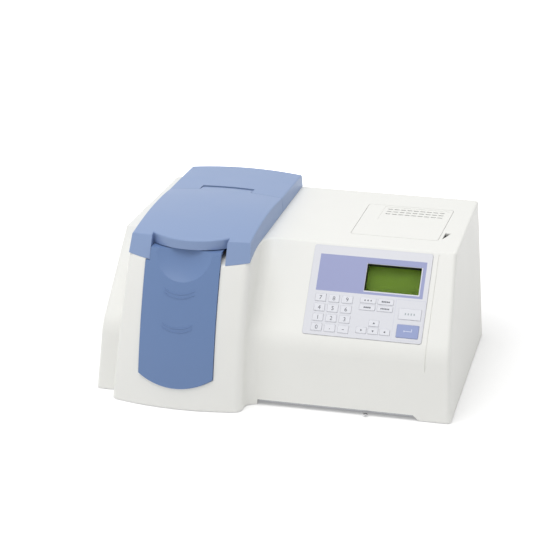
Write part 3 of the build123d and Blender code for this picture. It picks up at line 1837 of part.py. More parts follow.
# Main board with its larger components
with BuildPart() as main_board:
    add(block(board_left, board_right, board_front_y, board_back_y, board_z, board_z + board_thick))
    with BuildSketch(Plane.XY.offset(board_z + board_thick)):
        with Locations(((board_left + board_right) / 2, (board_front_y + board_back_y) / 2)):
            with GridLocations(chip_pitch[0], chip_pitch[1], 4, 2):
                Rectangle(chip_size[0], chip_size[1])
    extrude(amount=chip_height)
    with BuildSketch(Plane.XY.offset(board_z + board_thick)):
        with Locations(((board_left + board_right) / 2, (board_front_y + board_back_y) / 2)):
            with GridLocations(chip_pitch[0] / 3, 0, 5, 1):
                Circle(capacitor_radius)
    extrude(amount=2 * chip_height)
main_board.part.label = "main_board"
export_step(main_board.part, "parts/main_board.step")

# Power supply
with BuildPart() as power_supply:
    add(block(supply_left, supply_right, supply_front_y, supply_back_y, supply_low, supply_top))
    fillet(power_supply.edges().filter_by(Axis.Z), wall)
    add(
        block(
            supply_left + lamp_wall,
            supply_right - lamp_wall,
            supply_front_y + lamp_wall,
            supply_back_y - lamp_wall,
            supply_low + lamp_wall,
            supply_top - lamp_wall,
        ),
        mode=Mode.SUBTRACT,
    )
    with BuildSketch(Plane.XY.offset(supply_top - 2 * lamp_wall)):
        with Locations(((supply_left + supply_right) / 2, (supply_front_y + supply_back_y) / 2)):
            with GridLocations(2 * lamp_slot[1] + wall, 0, 14, 1):
                Rectangle(lamp_slot[1], 2 * lamp_slot[0])
    extrude(amount=4 * lamp_wall, mode=Mode.SUBTRACT)
power_supply.part.label = "power_supply"
export_step(power_supply.part, "parts/power_supply.step")
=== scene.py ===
import json
from math import cos, pi, radians, sin

import bpy
from mathutils import Matrix, Vector

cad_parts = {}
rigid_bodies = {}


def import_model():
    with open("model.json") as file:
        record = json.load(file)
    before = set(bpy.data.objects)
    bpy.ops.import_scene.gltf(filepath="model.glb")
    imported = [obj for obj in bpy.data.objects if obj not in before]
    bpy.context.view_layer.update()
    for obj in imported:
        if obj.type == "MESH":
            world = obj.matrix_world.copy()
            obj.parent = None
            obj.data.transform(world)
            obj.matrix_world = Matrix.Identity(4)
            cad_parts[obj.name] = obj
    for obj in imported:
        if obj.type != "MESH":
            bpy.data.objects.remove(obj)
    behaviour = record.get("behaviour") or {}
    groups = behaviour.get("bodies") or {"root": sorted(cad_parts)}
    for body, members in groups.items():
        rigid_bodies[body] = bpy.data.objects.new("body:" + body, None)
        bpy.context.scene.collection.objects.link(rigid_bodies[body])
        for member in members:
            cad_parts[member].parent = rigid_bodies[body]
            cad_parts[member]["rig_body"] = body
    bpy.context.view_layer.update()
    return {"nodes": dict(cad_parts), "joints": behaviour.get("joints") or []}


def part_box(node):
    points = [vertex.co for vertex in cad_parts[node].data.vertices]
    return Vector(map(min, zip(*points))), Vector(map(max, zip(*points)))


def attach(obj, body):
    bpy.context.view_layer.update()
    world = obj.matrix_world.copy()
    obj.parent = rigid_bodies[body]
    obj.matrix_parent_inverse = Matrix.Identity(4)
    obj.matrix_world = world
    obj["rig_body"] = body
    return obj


bl_info = {
    "name": "Benchtop Spectrophotometer",
    "version": (1, 0, 0),
    "blender": (4, 5, 0),
    "location": "View3D > Sidebar > Spectrophotometer",
    "description": "Finishes, printed key panel, screws and studio of a spectrophotometer",
    "category": "Object",
}

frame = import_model()

INSTRUMENT = "instrument"

# Print on the key panel, in metres. Places are shifts from the middle of the panel's face.
BAND_SIZE = (0.133, 0.047)
BAND_PLACE = (0.0015, 0.0225)
BAND_HOLE = (0.0696, 0.0366)
BAND_HOLE_SHIFT = (0.0275, -0.0022)
GROUP_SIZE = (0.036, 0.051)
GROUP_PLACE = (0.0546, -0.0295)
LINE_WIDTH = 0.0006
ARROW_RADIUS = 0.0016
RETURN_STEM = (0.0090, 0.0008)
RETURN_HOOK = (0.0008, 0.0034)
SIGNS = {"key_" + digit: digit for digit in "0123456789"}
ARROWS = {"key_right": -pi / 2, "key_up": 0.0, "key_left": pi / 2, "key_down": pi}
BAR_SIGNS = {
    "key_f1": (3, (0.0014, 0.0018), 0.0038),
    "key_f2": (5, (0.0016, 0.0018), 0.0021),
    "key_f3": (4, (0.0018, 0.0018), 0.0023),
    "key_f4": (6, (0.0014, 0.0018), 0.0019),
    "key_start": (4, (0.0017, 0.0026), 0.0036),
}

# Return of the blue panel under the lid's lip, in metres: bow and lip axes, radii and levels.
BOW_AXIS = (-0.10716, 0.13325)
RETURN_BOTTOM_RADIUS = 0.2516
RETURN_TOP_RADIUS = 0.2496
RETURN_LOW = 0.1860
RETURN_HIGH = 0.1896
RETURN_SIDES = (-0.1545, -0.0652)
LIP_AXIS = (-0.10741, -0.03825)
RETURN_INNER_RADIUS = 0.066
RETURN_BACK = -0.0940
SCOOP_CENTRE = (-0.1125, -0.2095, 0.2329)
SCOOP_RADIUS = 0.1104
FLANGE_FRONT = -0.1048
FLANGE_TOP = 0.1883

# Screws, in metres.
SCREW_RADIUS = 0.0027
SCREW_HEIGHT = 0.0016
SCREW_SLOT = (0.0030, 0.0007)
SCREW_TURN = 37.0
SCREW_EDGE = 0.0034
FAN_SCREW_INSET = 0.005
BASE_SCREW_X = 0.12
BASE_SCREW_INSET = 0.03

# Studio, in metres.
FLOOR_SIZE = 12.0
# The floor's painted glow grows between these two distances from the instrument.
FLOOR_NEAR = 0.3
FLOOR_FAR = 1.0
LIGHT_TARGET = (0.0, 0.0, 0.1)
KEY_LIGHT = ((-0.35, -0.45, 2.6), 1.8)
FILL_LIGHT = ((-2.2, -1.8, 1.0), 1.6)


def linear(red, green, blue):
    """Scene-linear colour of a colour given in 0 to 255."""
    channels = []
    for value in (red, green, blue):
        part = value / 255.0
        channels.append(part / 12.92 if part <= 0.04045 else ((part + 0.055) / 1.055) ** 2.4)
    return tuple(channels)


# Settings


class SpectroHousingSettings(bpy.types.PropertyGroup):
    """Colours and grain of the moulded housing."""

    housing_color: bpy.props.FloatVectorProperty(
        name="Housing Color", description="Pale moulded housing", subtype="COLOR",
        default=linear(240, 240, 236), min=0.0, max=1.0)
    lid_color: bpy.props.FloatVectorProperty(
        name="Lid Color", description="Sample lid and rear top cover", subtype="COLOR",
        default=linear(139, 160, 198), min=0.0, max=1.0)
    panel_color: bpy.props.FloatVectorProperty(
        name="Front Panel Color", description="Blue panel with the finger scoop", subtype="COLOR",
        default=linear(108, 134, 178), min=0.0, max=1.0)
    grain_scale: bpy.props.FloatProperty(
        name="Grain Scale", description="Grains of the moulded surface per metre",
        default=900.0, min=100.0, max=4000.0)
    grain_height: bpy.props.FloatProperty(
        name="Grain Height", description="Height of the moulded grain", subtype="DISTANCE",
        unit="LENGTH", default=0.00003, min=0.0, max=0.001)


class SpectroPanelSettings(bpy.types.PropertyGroup):
    """Colours and sizes of the printed key panel."""

    film_color: bpy.props.FloatVectorProperty(
        name="Film Color", description="Pale film of the key panel", subtype="COLOR",
        default=linear(224, 225, 231), min=0.0, max=1.0)
    band_color: bpy.props.FloatVectorProperty(
        name="Band Color", description="Printed band round the display", subtype="COLOR",
        default=linear(157, 163, 203), min=0.0, max=1.0)
    enter_color: bpy.props.FloatVectorProperty(
        name="Enter Key Color", description="The large key at the lower right", subtype="COLOR",
        default=linear(153, 165, 207), min=0.0, max=1.0)
    display_color: bpy.props.FloatVectorProperty(
        name="Display Color", description="Green of the display glass", subtype="COLOR",
        default=linear(103, 133, 42), min=0.0, max=1.0)
    print_height: bpy.props.FloatProperty(
        name="Print Height", description="How far print stands above its surface",
        subtype="DISTANCE", unit="LENGTH", default=0.00004, min=0.00001, max=0.001)
    digit_height: bpy.props.FloatProperty(
        name="Digit Height", description="Height of the printed digits", subtype="DISTANCE",
        unit="LENGTH", default=0.0052, min=0.001, max=0.02)


class SpectroStudioSettings(bpy.types.PropertyGroup):
    """Camera, floor and lights."""

    azimuth: bpy.props.FloatProperty(
        name="Azimuth", description="Camera's turn round the instrument", subtype="ANGLE",
        unit="ROTATION", default=radians(14.154))
    elevation: bpy.props.FloatProperty(
        name="Elevation", description="Camera's height above the horizon", subtype="ANGLE",
        unit="ROTATION", default=radians(21.108))
    distance: bpy.props.FloatProperty(
        name="Distance", description="From the camera to its target", subtype="DISTANCE",
        unit="LENGTH", default=2.8902, min=0.5, max=20.0)
    target: bpy.props.FloatVectorProperty(
        name="Target", description="Point that the camera looks at", subtype="TRANSLATION",
        unit="LENGTH", default=(-0.01303, -0.02825, 0.12787))
    lens: bpy.props.FloatProperty(
        name="Lens", description="Focal length on a 36 mm sensor, in millimetres",
        default=148.35, min=10.0, max=1000.0)
    key_power: bpy.props.FloatProperty(
        name="Key Light", description="Power of the large light above the front", subtype="POWER",
        unit="POWER", default=34.0, min=0.0, max=1000.0)
    fill_power: bpy.props.FloatProperty(
        name="Fill Light", description="Power of the light at the left", subtype="POWER",
        unit="POWER", default=3.0, min=0.0, max=1000.0)
    ambient: bpy.props.FloatProperty(
        name="Ambient", description="Strength of the light from all round", default=0.58,
        min=0.0, max=3.0)
    # Level of the floor's painted glow near the instrument; it grows to full white far from it.
    floor_glow: bpy.props.FloatProperty(
        name="Floor White", description="White added to the floor where it is seen",
        default=0.22, min=0.0, max=1.0)


# Small tools


def deselect_all():
    """Leaves edit mode with nothing selected."""
    if bpy.context.object and bpy.context.object.mode != "OBJECT":
        bpy.ops.object.mode_set(mode="OBJECT")
    bpy.ops.object.select_all(action="DESELECT")


def settle(piece, name, place, material, body):
    """Puts a finished piece at its place, applies that place, and lets it ride on its body."""
    piece.name = name
    piece.data.name = name
    piece.matrix_world = place
    deselect_all()
    piece.select_set(True)
    bpy.context.view_layer.objects.active = piece
    bpy.ops.object.transform_apply(location=True, rotation=True, scale=True)
    piece.data.materials.clear()
    piece.data.materials.append(material)
    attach(piece, body)
    deselect_all()
    return piece


def node_body(node):
    """The CAD body that a node rides on."""
    return frame["nodes"][node]["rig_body"]


def panel_vectors():
    """Across, up and outward directions of the sloping key panel, taken from a key's travel."""
    for joint in frame["joints"]:
        if joint["name"] == "key_5_press":
            outward = -Vector(joint["axis"]).normalized()
    across = Vector((1.0, 0.0, 0.0))
    return across, outward.cross(across), outward


def top_face(node):
    """Middle, width and height of a panel node's outermost face."""
    across, up, outward = panel_vectors()
    points = [vertex.co for vertex in frame["nodes"][node].data.vertices]
    level = max(point.dot(outward) for point in points)
    rim = [point for point in points if point.dot(outward) > level - 0.00005]
    across_span = [point.dot(across) for point in rim]
    up_span = [point.dot(up) for point in rim]
    middle = (
        across * (min(across_span) + max(across_span)) / 2
        + up * (min(up_span) + max(up_span)) / 2
        + outward * level
    )
    return middle, max(across_span) - min(across_span), max(up_span) - min(up_span)


def panel_place(origin, across_shift=0.0, up_shift=0.0, lift=0.0, turn=0.0):
    """Matrix of a print's place on the panel: its X runs across and its Y runs up."""
    across, up, outward = panel_vectors()
    spot = origin + across * across_shift + up * up_shift + outward * lift
    axes = Matrix((across, up, outward)).transposed().to_4x4()
    return Matrix.Translation(spot) @ axes @ Matrix.Rotation(turn, 4, "Z")


# Shared surface effects


def new_group(name, inputs, outputs):
    """An empty shader node group with named number, colour or vector sockets."""
    group = bpy.data.node_groups.new(name, "ShaderNodeTree")
    for label, kind, default in inputs:
        socket = group.interface.new_socket(name=label, in_out="INPUT", socket_type=kind)
        if default is not None:
            socket.default_value = default
    for label, kind in outputs:
        group.interface.new_socket(name=label, in_out="OUTPUT", socket_type=kind)
    return group, group.nodes.new("NodeGroupInput"), group.nodes.new("NodeGroupOutput")


def math_node(nodes, operation, value=0.0):
    """A Math node with its second value set."""
    node = nodes.new("ShaderNodeMath")
    node.operation = operation
    node.inputs[1].default_value = value
    return node


def moulded_grain_group():
    """Fine leathery grain of moulded plastic, with faint blotches of sheen and tone."""
    group, group_in, group_out = new_group(
        "Moulded Grain",
        [("Position", "NodeSocketVector", None), ("Color", "NodeSocketColor", None),
         ("Scale", "NodeSocketFloat", 900.0), ("Roughness", "NodeSocketFloat", 0.4),
         ("Tone Variation", "NodeSocketFloat", 0.03)],
        [("Color", "NodeSocketColor"), ("Roughness", "NodeSocketFloat"),
         ("Height", "NodeSocketFloat")])
    nodes, links = group.nodes, group.links
    grain = nodes.new("ShaderNodeTexVoronoi")
    grain.feature = "SMOOTH_F1"
    links.new(group_in.outputs["Position"], grain.inputs["Vector"])
    links.new(group_in.outputs["Scale"], grain.inputs["Scale"])
    links.new(grain.outputs["Distance"], group_out.inputs["Height"])
    blotch = nodes.new("ShaderNodeTexNoise")
    blotch.inputs["Scale"].default_value = 26.0
    blotch.inputs["Detail"].default_value = 4.0
    links.new(group_in.outputs["Position"], blotch.inputs["Vector"])
    centred = math_node(nodes, "SUBTRACT", 0.5)
    links.new(blotch.outputs["Fac"], centred.inputs[0])
    sheen = math_node(nodes, "MULTIPLY", 0.16)
    links.new(centred.outputs[0], sheen.inputs[0])
    rough = math_node(nodes, "ADD")
    links.new(group_in.outputs["Roughness"], rough.inputs[0])
    links.new(sheen.outputs[0], rough.inputs[1])
    links.new(rough.outputs[0], group_out.inputs["Roughness"])
    tone = math_node(nodes, "MULTIPLY")
    links.new(centred.outputs[0], tone.inputs[0])
    links.new(group_in.outputs["Tone Variation"], tone.inputs[1])
    level = math_node(nodes, "ADD", 1.0)
    links.new(tone.outputs[0], level.inputs[0])
    shade = nodes.new("ShaderNodeVectorMath")
    shade.operation = "SCALE"
    links.new(group_in.outputs["Color"], shade.inputs[0])
    links.new(level.outputs[0], shade.inputs["Scale"])
    links.new(shade.outputs[0], group_out.inputs["Color"])
    return group


def drawn_metal_group():
    """Fine lines of brushed or rolled metal along one axis, with light stains."""
    group, group_in, group_out = new_group(
        "Drawn Metal",
        [("Position", "NodeSocketVector", None), ("Color", "NodeSocketColor", None),
         ("Stretch", "NodeSocketVector", (6.0, 900.0, 900.0)),
         ("Roughness", "NodeSocketFloat", 0.35), ("Stain", "NodeSocketFloat", 0.12)],
        [("Color", "NodeSocketColor"), ("Roughness", "NodeSocketFloat"),
         ("Height", "NodeSocketFloat")])
    nodes, links = group.nodes, group.links
    stretched = nodes.new("ShaderNodeVectorMath")
    stretched.operation = "MULTIPLY"
    links.new(group_in.outputs["Position"], stretched.inputs[0])
    links.new(group_in.outputs["Stretch"], stretched.inputs[1])
    lines = nodes.new("ShaderNodeTexNoise")
    lines.inputs["Scale"].default_value = 1.0
    lines.inputs["Detail"].default_value = 3.0
    links.new(stretched.outputs[0], lines.inputs["Vector"])
    links.new(lines.outputs["Fac"], group_out.inputs["Height"])
    stain = nodes.new("ShaderNodeTexNoise")
    stain.inputs["Scale"].default_value = 18.0
    stain.inputs["Detail"].default_value = 5.0
    links.new(group_in.outputs["Position"], stain.inputs["Vector"])
    spread = math_node(nodes, "SUBTRACT", 0.5)
    links.new(stain.outputs["Fac"], spread.inputs[0])
    amount = math_node(nodes, "MULTIPLY")
    links.new(spread.outputs[0], amount.inputs[0])
    links.new(group_in.outputs["Stain"], amount.inputs[1])
    rough = math_node(nodes, "ADD")
    links.new(group_in.outputs["Roughness"], rough.inputs[0])
    links.new(amount.outputs[0], rough.inputs[1])
    links.new(rough.outputs[0], group_out.inputs["Roughness"])
    level = math_node(nodes, "ADD", 1.0)
    links.new(amount.outputs[0], level.inputs[0])
    shade = nodes.new("ShaderNodeVectorMath")
    shade.operation = "SCALE"
    links.new(group_in.outputs["Color"], shade.inputs[0])
    links.new(level.outputs[0], shade.inputs["Scale"])
    links.new(shade.outputs[0], group_out.inputs["Color"])
    return group


def surface_group(name):
    """The shared effect of that name, made the first time that it is asked for."""
    makers = {"Moulded Grain": moulded_grain_group, "Drawn Metal": drawn_metal_group}
    return bpy.data.node_groups.get(name) or makers[name]()


def textured_material(name, effect, color, roughness, metallic=0.0, bump=0.00003, values=None,
                      gloss=0.5):
    """A Principled material with one shared effect on its colour, roughness and relief."""
    material = bpy.data.materials.get(name)
    if material:
        return material
    material = bpy.data.materials.new(name)
    material.use_nodes = True
    material.diffuse_color = (*color, 1.0)
    nodes, links = material.node_tree.nodes, material.node_tree.links
    shader = nodes["Principled BSDF"]
    shader.inputs["Metallic"].default_value = metallic
    shader.inputs["Specular IOR Level"].default_value = gloss
    place = nodes.new("ShaderNodeTexCoord")
    effect_node = nodes.new("ShaderNodeGroup")
    effect_node.node_tree = surface_group(effect)
    effect_node.inputs["Color"].default_value = (*color, 1.0)
    effect_node.inputs["Roughness"].default_value = roughness
    for label, value in (values or {}).items():
        effect_node.inputs[label].default_value = value
    relief = nodes.new("ShaderNodeBump")
    relief.inputs["Distance"].default_value = bump
    relief.inputs["Strength"].default_value = 0.6
    links.new(place.outputs["Object"], effect_node.inputs["Position"])
    links.new(effect_node.outputs["Color"], shader.inputs["Base Color"])
    links.new(effect_node.outputs["Roughness"], shader.inputs["Roughness"])
    links.new(effect_node.outputs["Height"], relief.inputs["Height"])
    links.new(relief.outputs["Normal"], shader.inputs["Normal"])
    return material


def moulded(name, color, roughness=0.42, bump=0.00003, scale=900.0, tone=0.03, gloss=0.4):
    """Moulded plastic of one colour."""
    return textured_material(name, "Moulded Grain", color, roughness, bump=bump, gloss=gloss,
                             values={"Scale": scale, "Tone Variation": tone})


def metal(name, color, roughness=0.35, stretch=(6.0, 900.0, 900.0), stain=0.12, metallic=1.0):
    """Rolled, drawn or ground metal."""
    return textured_material(name, "Drawn Metal", color, roughness, metallic=metallic,
                             bump=0.00001, values={"Stretch": stretch, "Stain": stain})


def clear(name, color, roughness, ior, gloss=0.5):
    """Clear glass or plastic, seen through."""
    material = bpy.data.materials.get(name)
    if material:
        return material
    material = bpy.data.materials.new(name)
    material.use_nodes = True
    shader = material.node_tree.nodes["Principled BSDF"]
    shader.inputs["Base Color"].default_value = (*color, 1.0)
    shader.inputs["Roughness"].default_value = roughness
    shader.inputs["IOR"].default_value = ior
    shader.inputs["Specular IOR Level"].default_value = gloss
    shader.inputs["Transmission Weight"].default_value = 1.0
    return material


def paint(nodes, material):
    """Gives CAD nodes one finish."""
    for node in nodes:
        for slot in frame["nodes"][node].material_slots:
            slot.material = material


# Pieces of print, screws and studio


def flat_piece(size):
    """A plane of that width and height at the origin, left in edit mode with all of it selected."""
    deselect_all()
    bpy.ops.mesh.primitive_plane_add(size=1.0, location=(0.0, 0.0, 0.0))
    bpy.ops.object.mode_set(mode="EDIT")
    bpy.ops.mesh.select_all(action="SELECT")
    bpy.ops.transform.resize(value=(size[0], size[1], 1.0), center_override=(0.0, 0.0, 0.0))
    return bpy.context.object


def thicken(height):
    """Extrudes the flat piece in edit mode into a thin closed plate, and leaves edit mode."""
    bpy.ops.mesh.select_all(action="SELECT")
    bpy.ops.mesh.extrude_region_move(TRANSFORM_OT_translate={"value": (0.0, 0.0, height)})
    bpy.ops.mesh.select_all(action="SELECT")
    bpy.ops.mesh.normals_make_consistent(inside=False)
    bpy.ops.object.mode_set(mode="OBJECT")


def framed_plate(name, outer, inner, shift, height, place, material):
    """A thin printed frame: a plate with a rectangular hole, shifted from its middle."""
    piece = flat_piece(outer)
    margin = min(outer[0] - inner[0], outer[1] - inner[1]) / 4
    bpy.ops.mesh.inset(thickness=margin)
    bpy.ops.transform.resize(
        value=(inner[0] / (outer[0] - 2 * margin), inner[1] / (outer[1] - 2 * margin), 1.0),
        center_override=(0.0, 0.0, 0.0))
    bpy.ops.transform.translate(value=(shift[0], shift[1], 0.0))
    bpy.ops.mesh.delete(type="FACE")
    thicken(height)
    return settle(piece, name, place, material, INSTRUMENT)


def printed_text(name, words, height, thick, place, material, body):
    """A printed digit or sign, turned into a mesh before its place is applied."""
    deselect_all()
    bpy.ops.object.text_add(location=(0.0, 0.0, 0.0))
    piece = bpy.context.object
    piece.data.body = words
    piece.data.size = height / 0.72
    piece.data.extrude = thick / 2
    piece.data.resolution_u = 6
    bpy.ops.object.convert(target="MESH")
    bpy.ops.object.origin_set(type="ORIGIN_GEOMETRY", center="BOUNDS")
    return settle(piece, name, place @ Matrix.Translation((0.0, 0.0, thick / 2)), material, body)


def printed_bars(name, bars, thick, place, material, body):
    """A sign made of small bars, each given as middle, width and height."""
    parts = []
    for (across, up), size in bars:
        piece = flat_piece(size)
        bpy.ops.transform.translate(value=(across, up, 0.0))
        thicken(thick)
        parts.append(piece)
    return settle(joined(parts), name, place, material, body)


def arrow_head(radius, thick, turn=0.0, middle=(0.0, 0.0)):
    """A small solid triangle, its point up before it is turned."""
    deselect_all()
    bpy.ops.mesh.primitive_circle_add(vertices=3, radius=radius, fill_type="NGON",
                                      location=(0.0, 0.0, 0.0))
    piece = bpy.context.object
    bpy.ops.object.mode_set(mode="EDIT")
    bpy.ops.mesh.select_all(action="SELECT")
    bpy.ops.transform.rotate(value=turn, orient_axis="Z", center_override=(0.0, 0.0, 0.0))
    bpy.ops.transform.translate(value=(middle[0], middle[1], 0.0))
    thicken(thick)
    return piece


def joined(parts):
    """One piece out of several."""
    deselect_all()
    for piece in parts:
        piece.select_set(True)
    bpy.context.view_layer.objects.active = parts[0]
    if len(parts) > 1:
        bpy.ops.object.join()
    return parts[0]


def cut_by(piece, cutter, operation="DIFFERENCE"):
    """Applies a boolean of the piece with a cutter, which is then removed."""
    cut = piece.modifiers.new("Cut", "BOOLEAN")
    cut.operation = operation
    cut.object = cutter
    deselect_all()
    bpy.context.view_layer.objects.active = piece
    bpy.ops.object.modifier_apply(modifier="Cut")
    bpy.data.objects.remove(cutter)


def block_piece(low, high):
    """A block between two corners, used to cut."""
    piece = flat_piece((high[0] - low[0], high[1] - low[1]))
    bpy.ops.transform.translate(
        value=((low[0] + high[0]) / 2, (low[1] + high[1]) / 2, low[2]))
    thicken(high[2] - low[2])
    return piece


def screw_head():
    """A small pan-head screw with a cross recess, standing on its seat with its head along +Z."""
    deselect_all()
    bpy.ops.mesh.primitive_cylinder_add(vertices=32, radius=SCREW_RADIUS, depth=SCREW_HEIGHT,
                                        location=(0.0, 0.0, 0.0))
    piece = bpy.context.object
    bpy.ops.object.mode_set(mode="EDIT")
    bpy.ops.mesh.select_all(action="SELECT")
    bpy.ops.transform.translate(value=(0.0, 0.0, SCREW_HEIGHT / 2))
    bpy.ops.object.mode_set(mode="OBJECT")
    rounding = piece.modifiers.new("Rounding", "BEVEL")
    rounding.width = SCREW_HEIGHT * 0.4
    rounding.segments = 3
    bpy.ops.object.modifier_apply(modifier="Rounding")
    for size in (SCREW_SLOT, SCREW_SLOT[::-1]):
        cutter = flat_piece(size)
        bpy.ops.transform.translate(value=(0.0, 0.0, SCREW_HEIGHT * 0.5))
        thicken(SCREW_HEIGHT)
        cut_by(piece, cutter)
    piece.select_set(True)
    bpy.ops.object.shade_smooth_by_angle(angle=radians(35.0))
    return piece


def seen_factor(nodes, links):
    """One where a ray comes from the camera, a reflection or clear glass, and zero elsewhere."""
    path = nodes.new("ShaderNodeLightPath")
    factor = path.outputs["Is Camera Ray"]
    for label in ("Is Glossy Ray", "Is Transmission Ray"):
        largest = math_node(nodes, "MAXIMUM")
        links.new(factor, largest.inputs[0])
        links.new(path.outputs[label], largest.inputs[1])
        factor = largest.outputs[0]
    return factor


def floor_material(glow):
    """White floor that keeps shadows, with a painted glow where it is seen: faint near the
    instrument and full white far from it, standing in for lamp light that falls off with distance.
    """
    material = bpy.data.materials.new("Studio Floor")
    material.use_nodes = True
    nodes, links = material.node_tree.nodes, material.node_tree.links
    shader = nodes["Principled BSDF"]
    shader.inputs["Base Color"].default_value = (0.9, 0.9, 0.9, 1.0)
    shader.inputs["Roughness"].default_value = 0.9
    shader.inputs["Specular IOR Level"].default_value = 0.0
    glowing = nodes.new("ShaderNodeEmission")
    place = nodes.new("ShaderNodeTexCoord")
    reach = nodes.new("ShaderNodeVectorMath")
    reach.operation = "LENGTH"
    links.new(place.outputs["Object"], reach.inputs[0])
    # Painted light: the floor's glow grows from the near level to full white between FLOOR_NEAR and
    # FLOOR_FAR from the instrument.
    painted_glow_ramp = nodes.new("ShaderNodeMapRange")
    painted_glow_ramp.interpolation_type = "SMOOTHSTEP"
    painted_glow_ramp.inputs["From Min"].default_value = FLOOR_NEAR
    painted_glow_ramp.inputs["From Max"].default_value = FLOOR_FAR
    painted_glow_ramp.inputs["To Min"].default_value = glow
    painted_glow_ramp.inputs["To Max"].default_value = 1.0
    links.new(reach.outputs["Value"], painted_glow_ramp.inputs["Value"])
    seen = math_node(nodes, "MULTIPLY")
    links.new(seen_factor(nodes, links), seen.inputs[0])
    links.new(painted_glow_ramp.outputs["Result"], seen.inputs[1])
    links.new(seen.outputs[0], glowing.inputs["Strength"])
    both = nodes.new("ShaderNodeAddShader")
    links.new(shader.outputs[0], both.inputs[0])
    links.new(glowing.outputs[0], both.inputs[1])
    links.new(both.outputs[0], nodes["Material Output"].inputs["Surface"])
    return material


def soft_light(name, light, power):
    """A square area light at its place, turned to the instrument."""
    place, size = Vector(light[0]), light[1]
    turned = (place - Vector(LIGHT_TARGET)).to_track_quat("Z", "Y").to_euler()
    bpy.ops.object.light_add(type="AREA", location=place, rotation=turned)
    lamp = bpy.context.object
    lamp.name = name
    lamp.data.shape = "SQUARE"
    lamp.data.size = size
    lamp.data.energy = power
    return lamp


# Operators


class SPECTRO_OT_housing_finish(bpy.types.Operator):
    """Finish the housing, the lid strip and the blue front panel"""

    bl_idname = "spectro.housing_finish"
    bl_label = "Housing Finish"

    def execute(self, context):
        settings = context.scene.spectro_housing
        grain = {"scale": settings.grain_scale, "bump": settings.grain_height}
        housing = moulded("Pale Housing Plastic", tuple(settings.housing_color), 0.46, **grain)
        lid = moulded("Light Blue Plastic", tuple(settings.lid_color), 0.4, **grain)
        panel = moulded("Blue Panel Plastic", tuple(settings.panel_color), 0.4, **grain)
        paint(["main_housing", "lamp_cover"], housing)
        paint(["sample_lid", "rear_top_cover"], lid)
        paint(["front_panel"], panel)
        return {"FINISHED"}


class SPECTRO_OT_panel_finish(bpy.types.Operator):
    """Finish the key panel, its keys and the display"""

    bl_idname = "spectro.panel_finish"
    bl_label = "Key Panel Finish"

    def execute(self, context):
        settings = context.scene.spectro_panel
        film = moulded("Pale Panel Film", tuple(settings.film_color), 0.34, bump=0.000008)
        keys = moulded("Pale Key Plastic", linear(229, 230, 236), 0.32, bump=0.000008)
        enter = moulded("Lavender Key Plastic", tuple(settings.enter_color), 0.32, bump=0.000008)
        black = moulded("Black Moulding", linear(22, 22, 25), 0.45)
        display = moulded("Green Display Glass", tuple(settings.display_color), 0.5,
                          bump=0.000002, scale=2600.0, tone=0.1, gloss=0.1)
        board = moulded("Green Circuit Board", linear(28, 84, 48), 0.38, scale=500.0, tone=0.3)
        key_nodes = [name for name in frame["nodes"]
                     if name.startswith("key_") and name != "key_board"]
        paint(["panel_bezel"], film)
        paint(key_nodes, keys)
        paint(["key_enter"], enter)
        # The display frame is black moulding; its deep walls round the window are also black as
        # painted shade, standing for the shadow in the window's recess.
        paint(["display_frame"], black)
        paint(["display_glass"], display)
        paint(["display_window"], clear("Clear Display Window", (0.97, 0.98, 0.97), 0.04, 1.12, 0.1))
        paint(["key_board", "main_board"], board)
        return {"FINISHED"}


class SPECTRO_OT_inner_finish(bpy.types.Operator):
    """Finish the rear wall, the feet and the pieces inside"""

    bl_idname = "spectro.inner_finish"
    bl_label = "Rear and Inner Finish"

    def execute(self, context):
        black = moulded("Black Moulding", linear(22, 22, 25), 0.45)
        tub = moulded("Black Chamber Plastic", linear(16, 16, 18), 0.55, tone=0.1)
        rubber = moulded("Black Rubber", linear(20, 20, 21), 0.75, bump=0.00006, scale=600.0)
        anodised = metal("Black Anodised Aluminium", linear(38, 38, 42), 0.42, metallic=0.7)
        aluminium = metal("Milled Aluminium", linear(190, 190, 192), 0.34)
        steel = metal("Ground Steel", linear(176, 176, 178), 0.22, stretch=(900.0, 8.0, 900.0))
        zinc = metal("Zinc Plated Steel", linear(168, 170, 174), 0.4, stain=0.3)
        sheet = moulded("Grey Powder Coat", linear(206, 206, 202), 0.5, bump=0.00005, scale=1400.0)
        ceramic = moulded("White Ceramic", linear(226, 222, 210), 0.5, tone=0.08)
        mirror = metal("Coated Mirror", linear(226, 230, 235), 0.05, stain=0.02)
        paint(["rear_panel"], sheet)
        paint(["base_tray", "power_supply", "lamp_house"], zinc)
        paint(["rubber_feet", "chamber_seal"], rubber)
        paint(["power_inlet", "power_switch", "fan_frame", "fan_rotor"], black)
        paint(["chamber_liner"], tub)
        paint(["optical_base", "grating_table"], aluminium)
        paint(["cell_carriage", "detector_unit", "monochromator_case", "monochromator_cover",
               "filter_wheel"], anodised)
        paint(["carriage_rods", "hinge_pins", "data_port", "grating_motor", "filter_motor"], steel)
        paint(["lamp_socket"], ceramic)
        paint(["beam_mirrors", "grating"], mirror)
        paint(["halogen_lamp"], clear("Quartz Glass", (0.98, 0.98, 0.98), 0.03, 1.46))
        return {"FINISHED"}


class SPECTRO_OT_panel_print(bpy.types.Operator):
    """Print the band round the display and the thin frame round the two large keys"""

    bl_idname = "spectro.panel_print"
    bl_label = "Panel Print"

    def execute(self, context):
        settings = context.scene.spectro_panel
        middle = top_face("panel_bezel")[0]
        height = settings.print_height
        band = moulded("Lavender Print", tuple(settings.band_color), 0.34, bump=0.000006)
        line = moulded("Grey Line Print", linear(205, 207, 222), 0.4, bump=0.000006)
        framed_plate("display_band", BAND_SIZE, BAND_HOLE, BAND_HOLE_SHIFT, height,
                     panel_place(middle, *BAND_PLACE), band)
        framed_plate("key_group_line", (GROUP_SIZE[0] + LINE_WIDTH, GROUP_SIZE[1] + LINE_WIDTH),
                     GROUP_SIZE, (0.0, 0.0), height, panel_place(middle, *GROUP_PLACE), line)
        return {"FINISHED"}


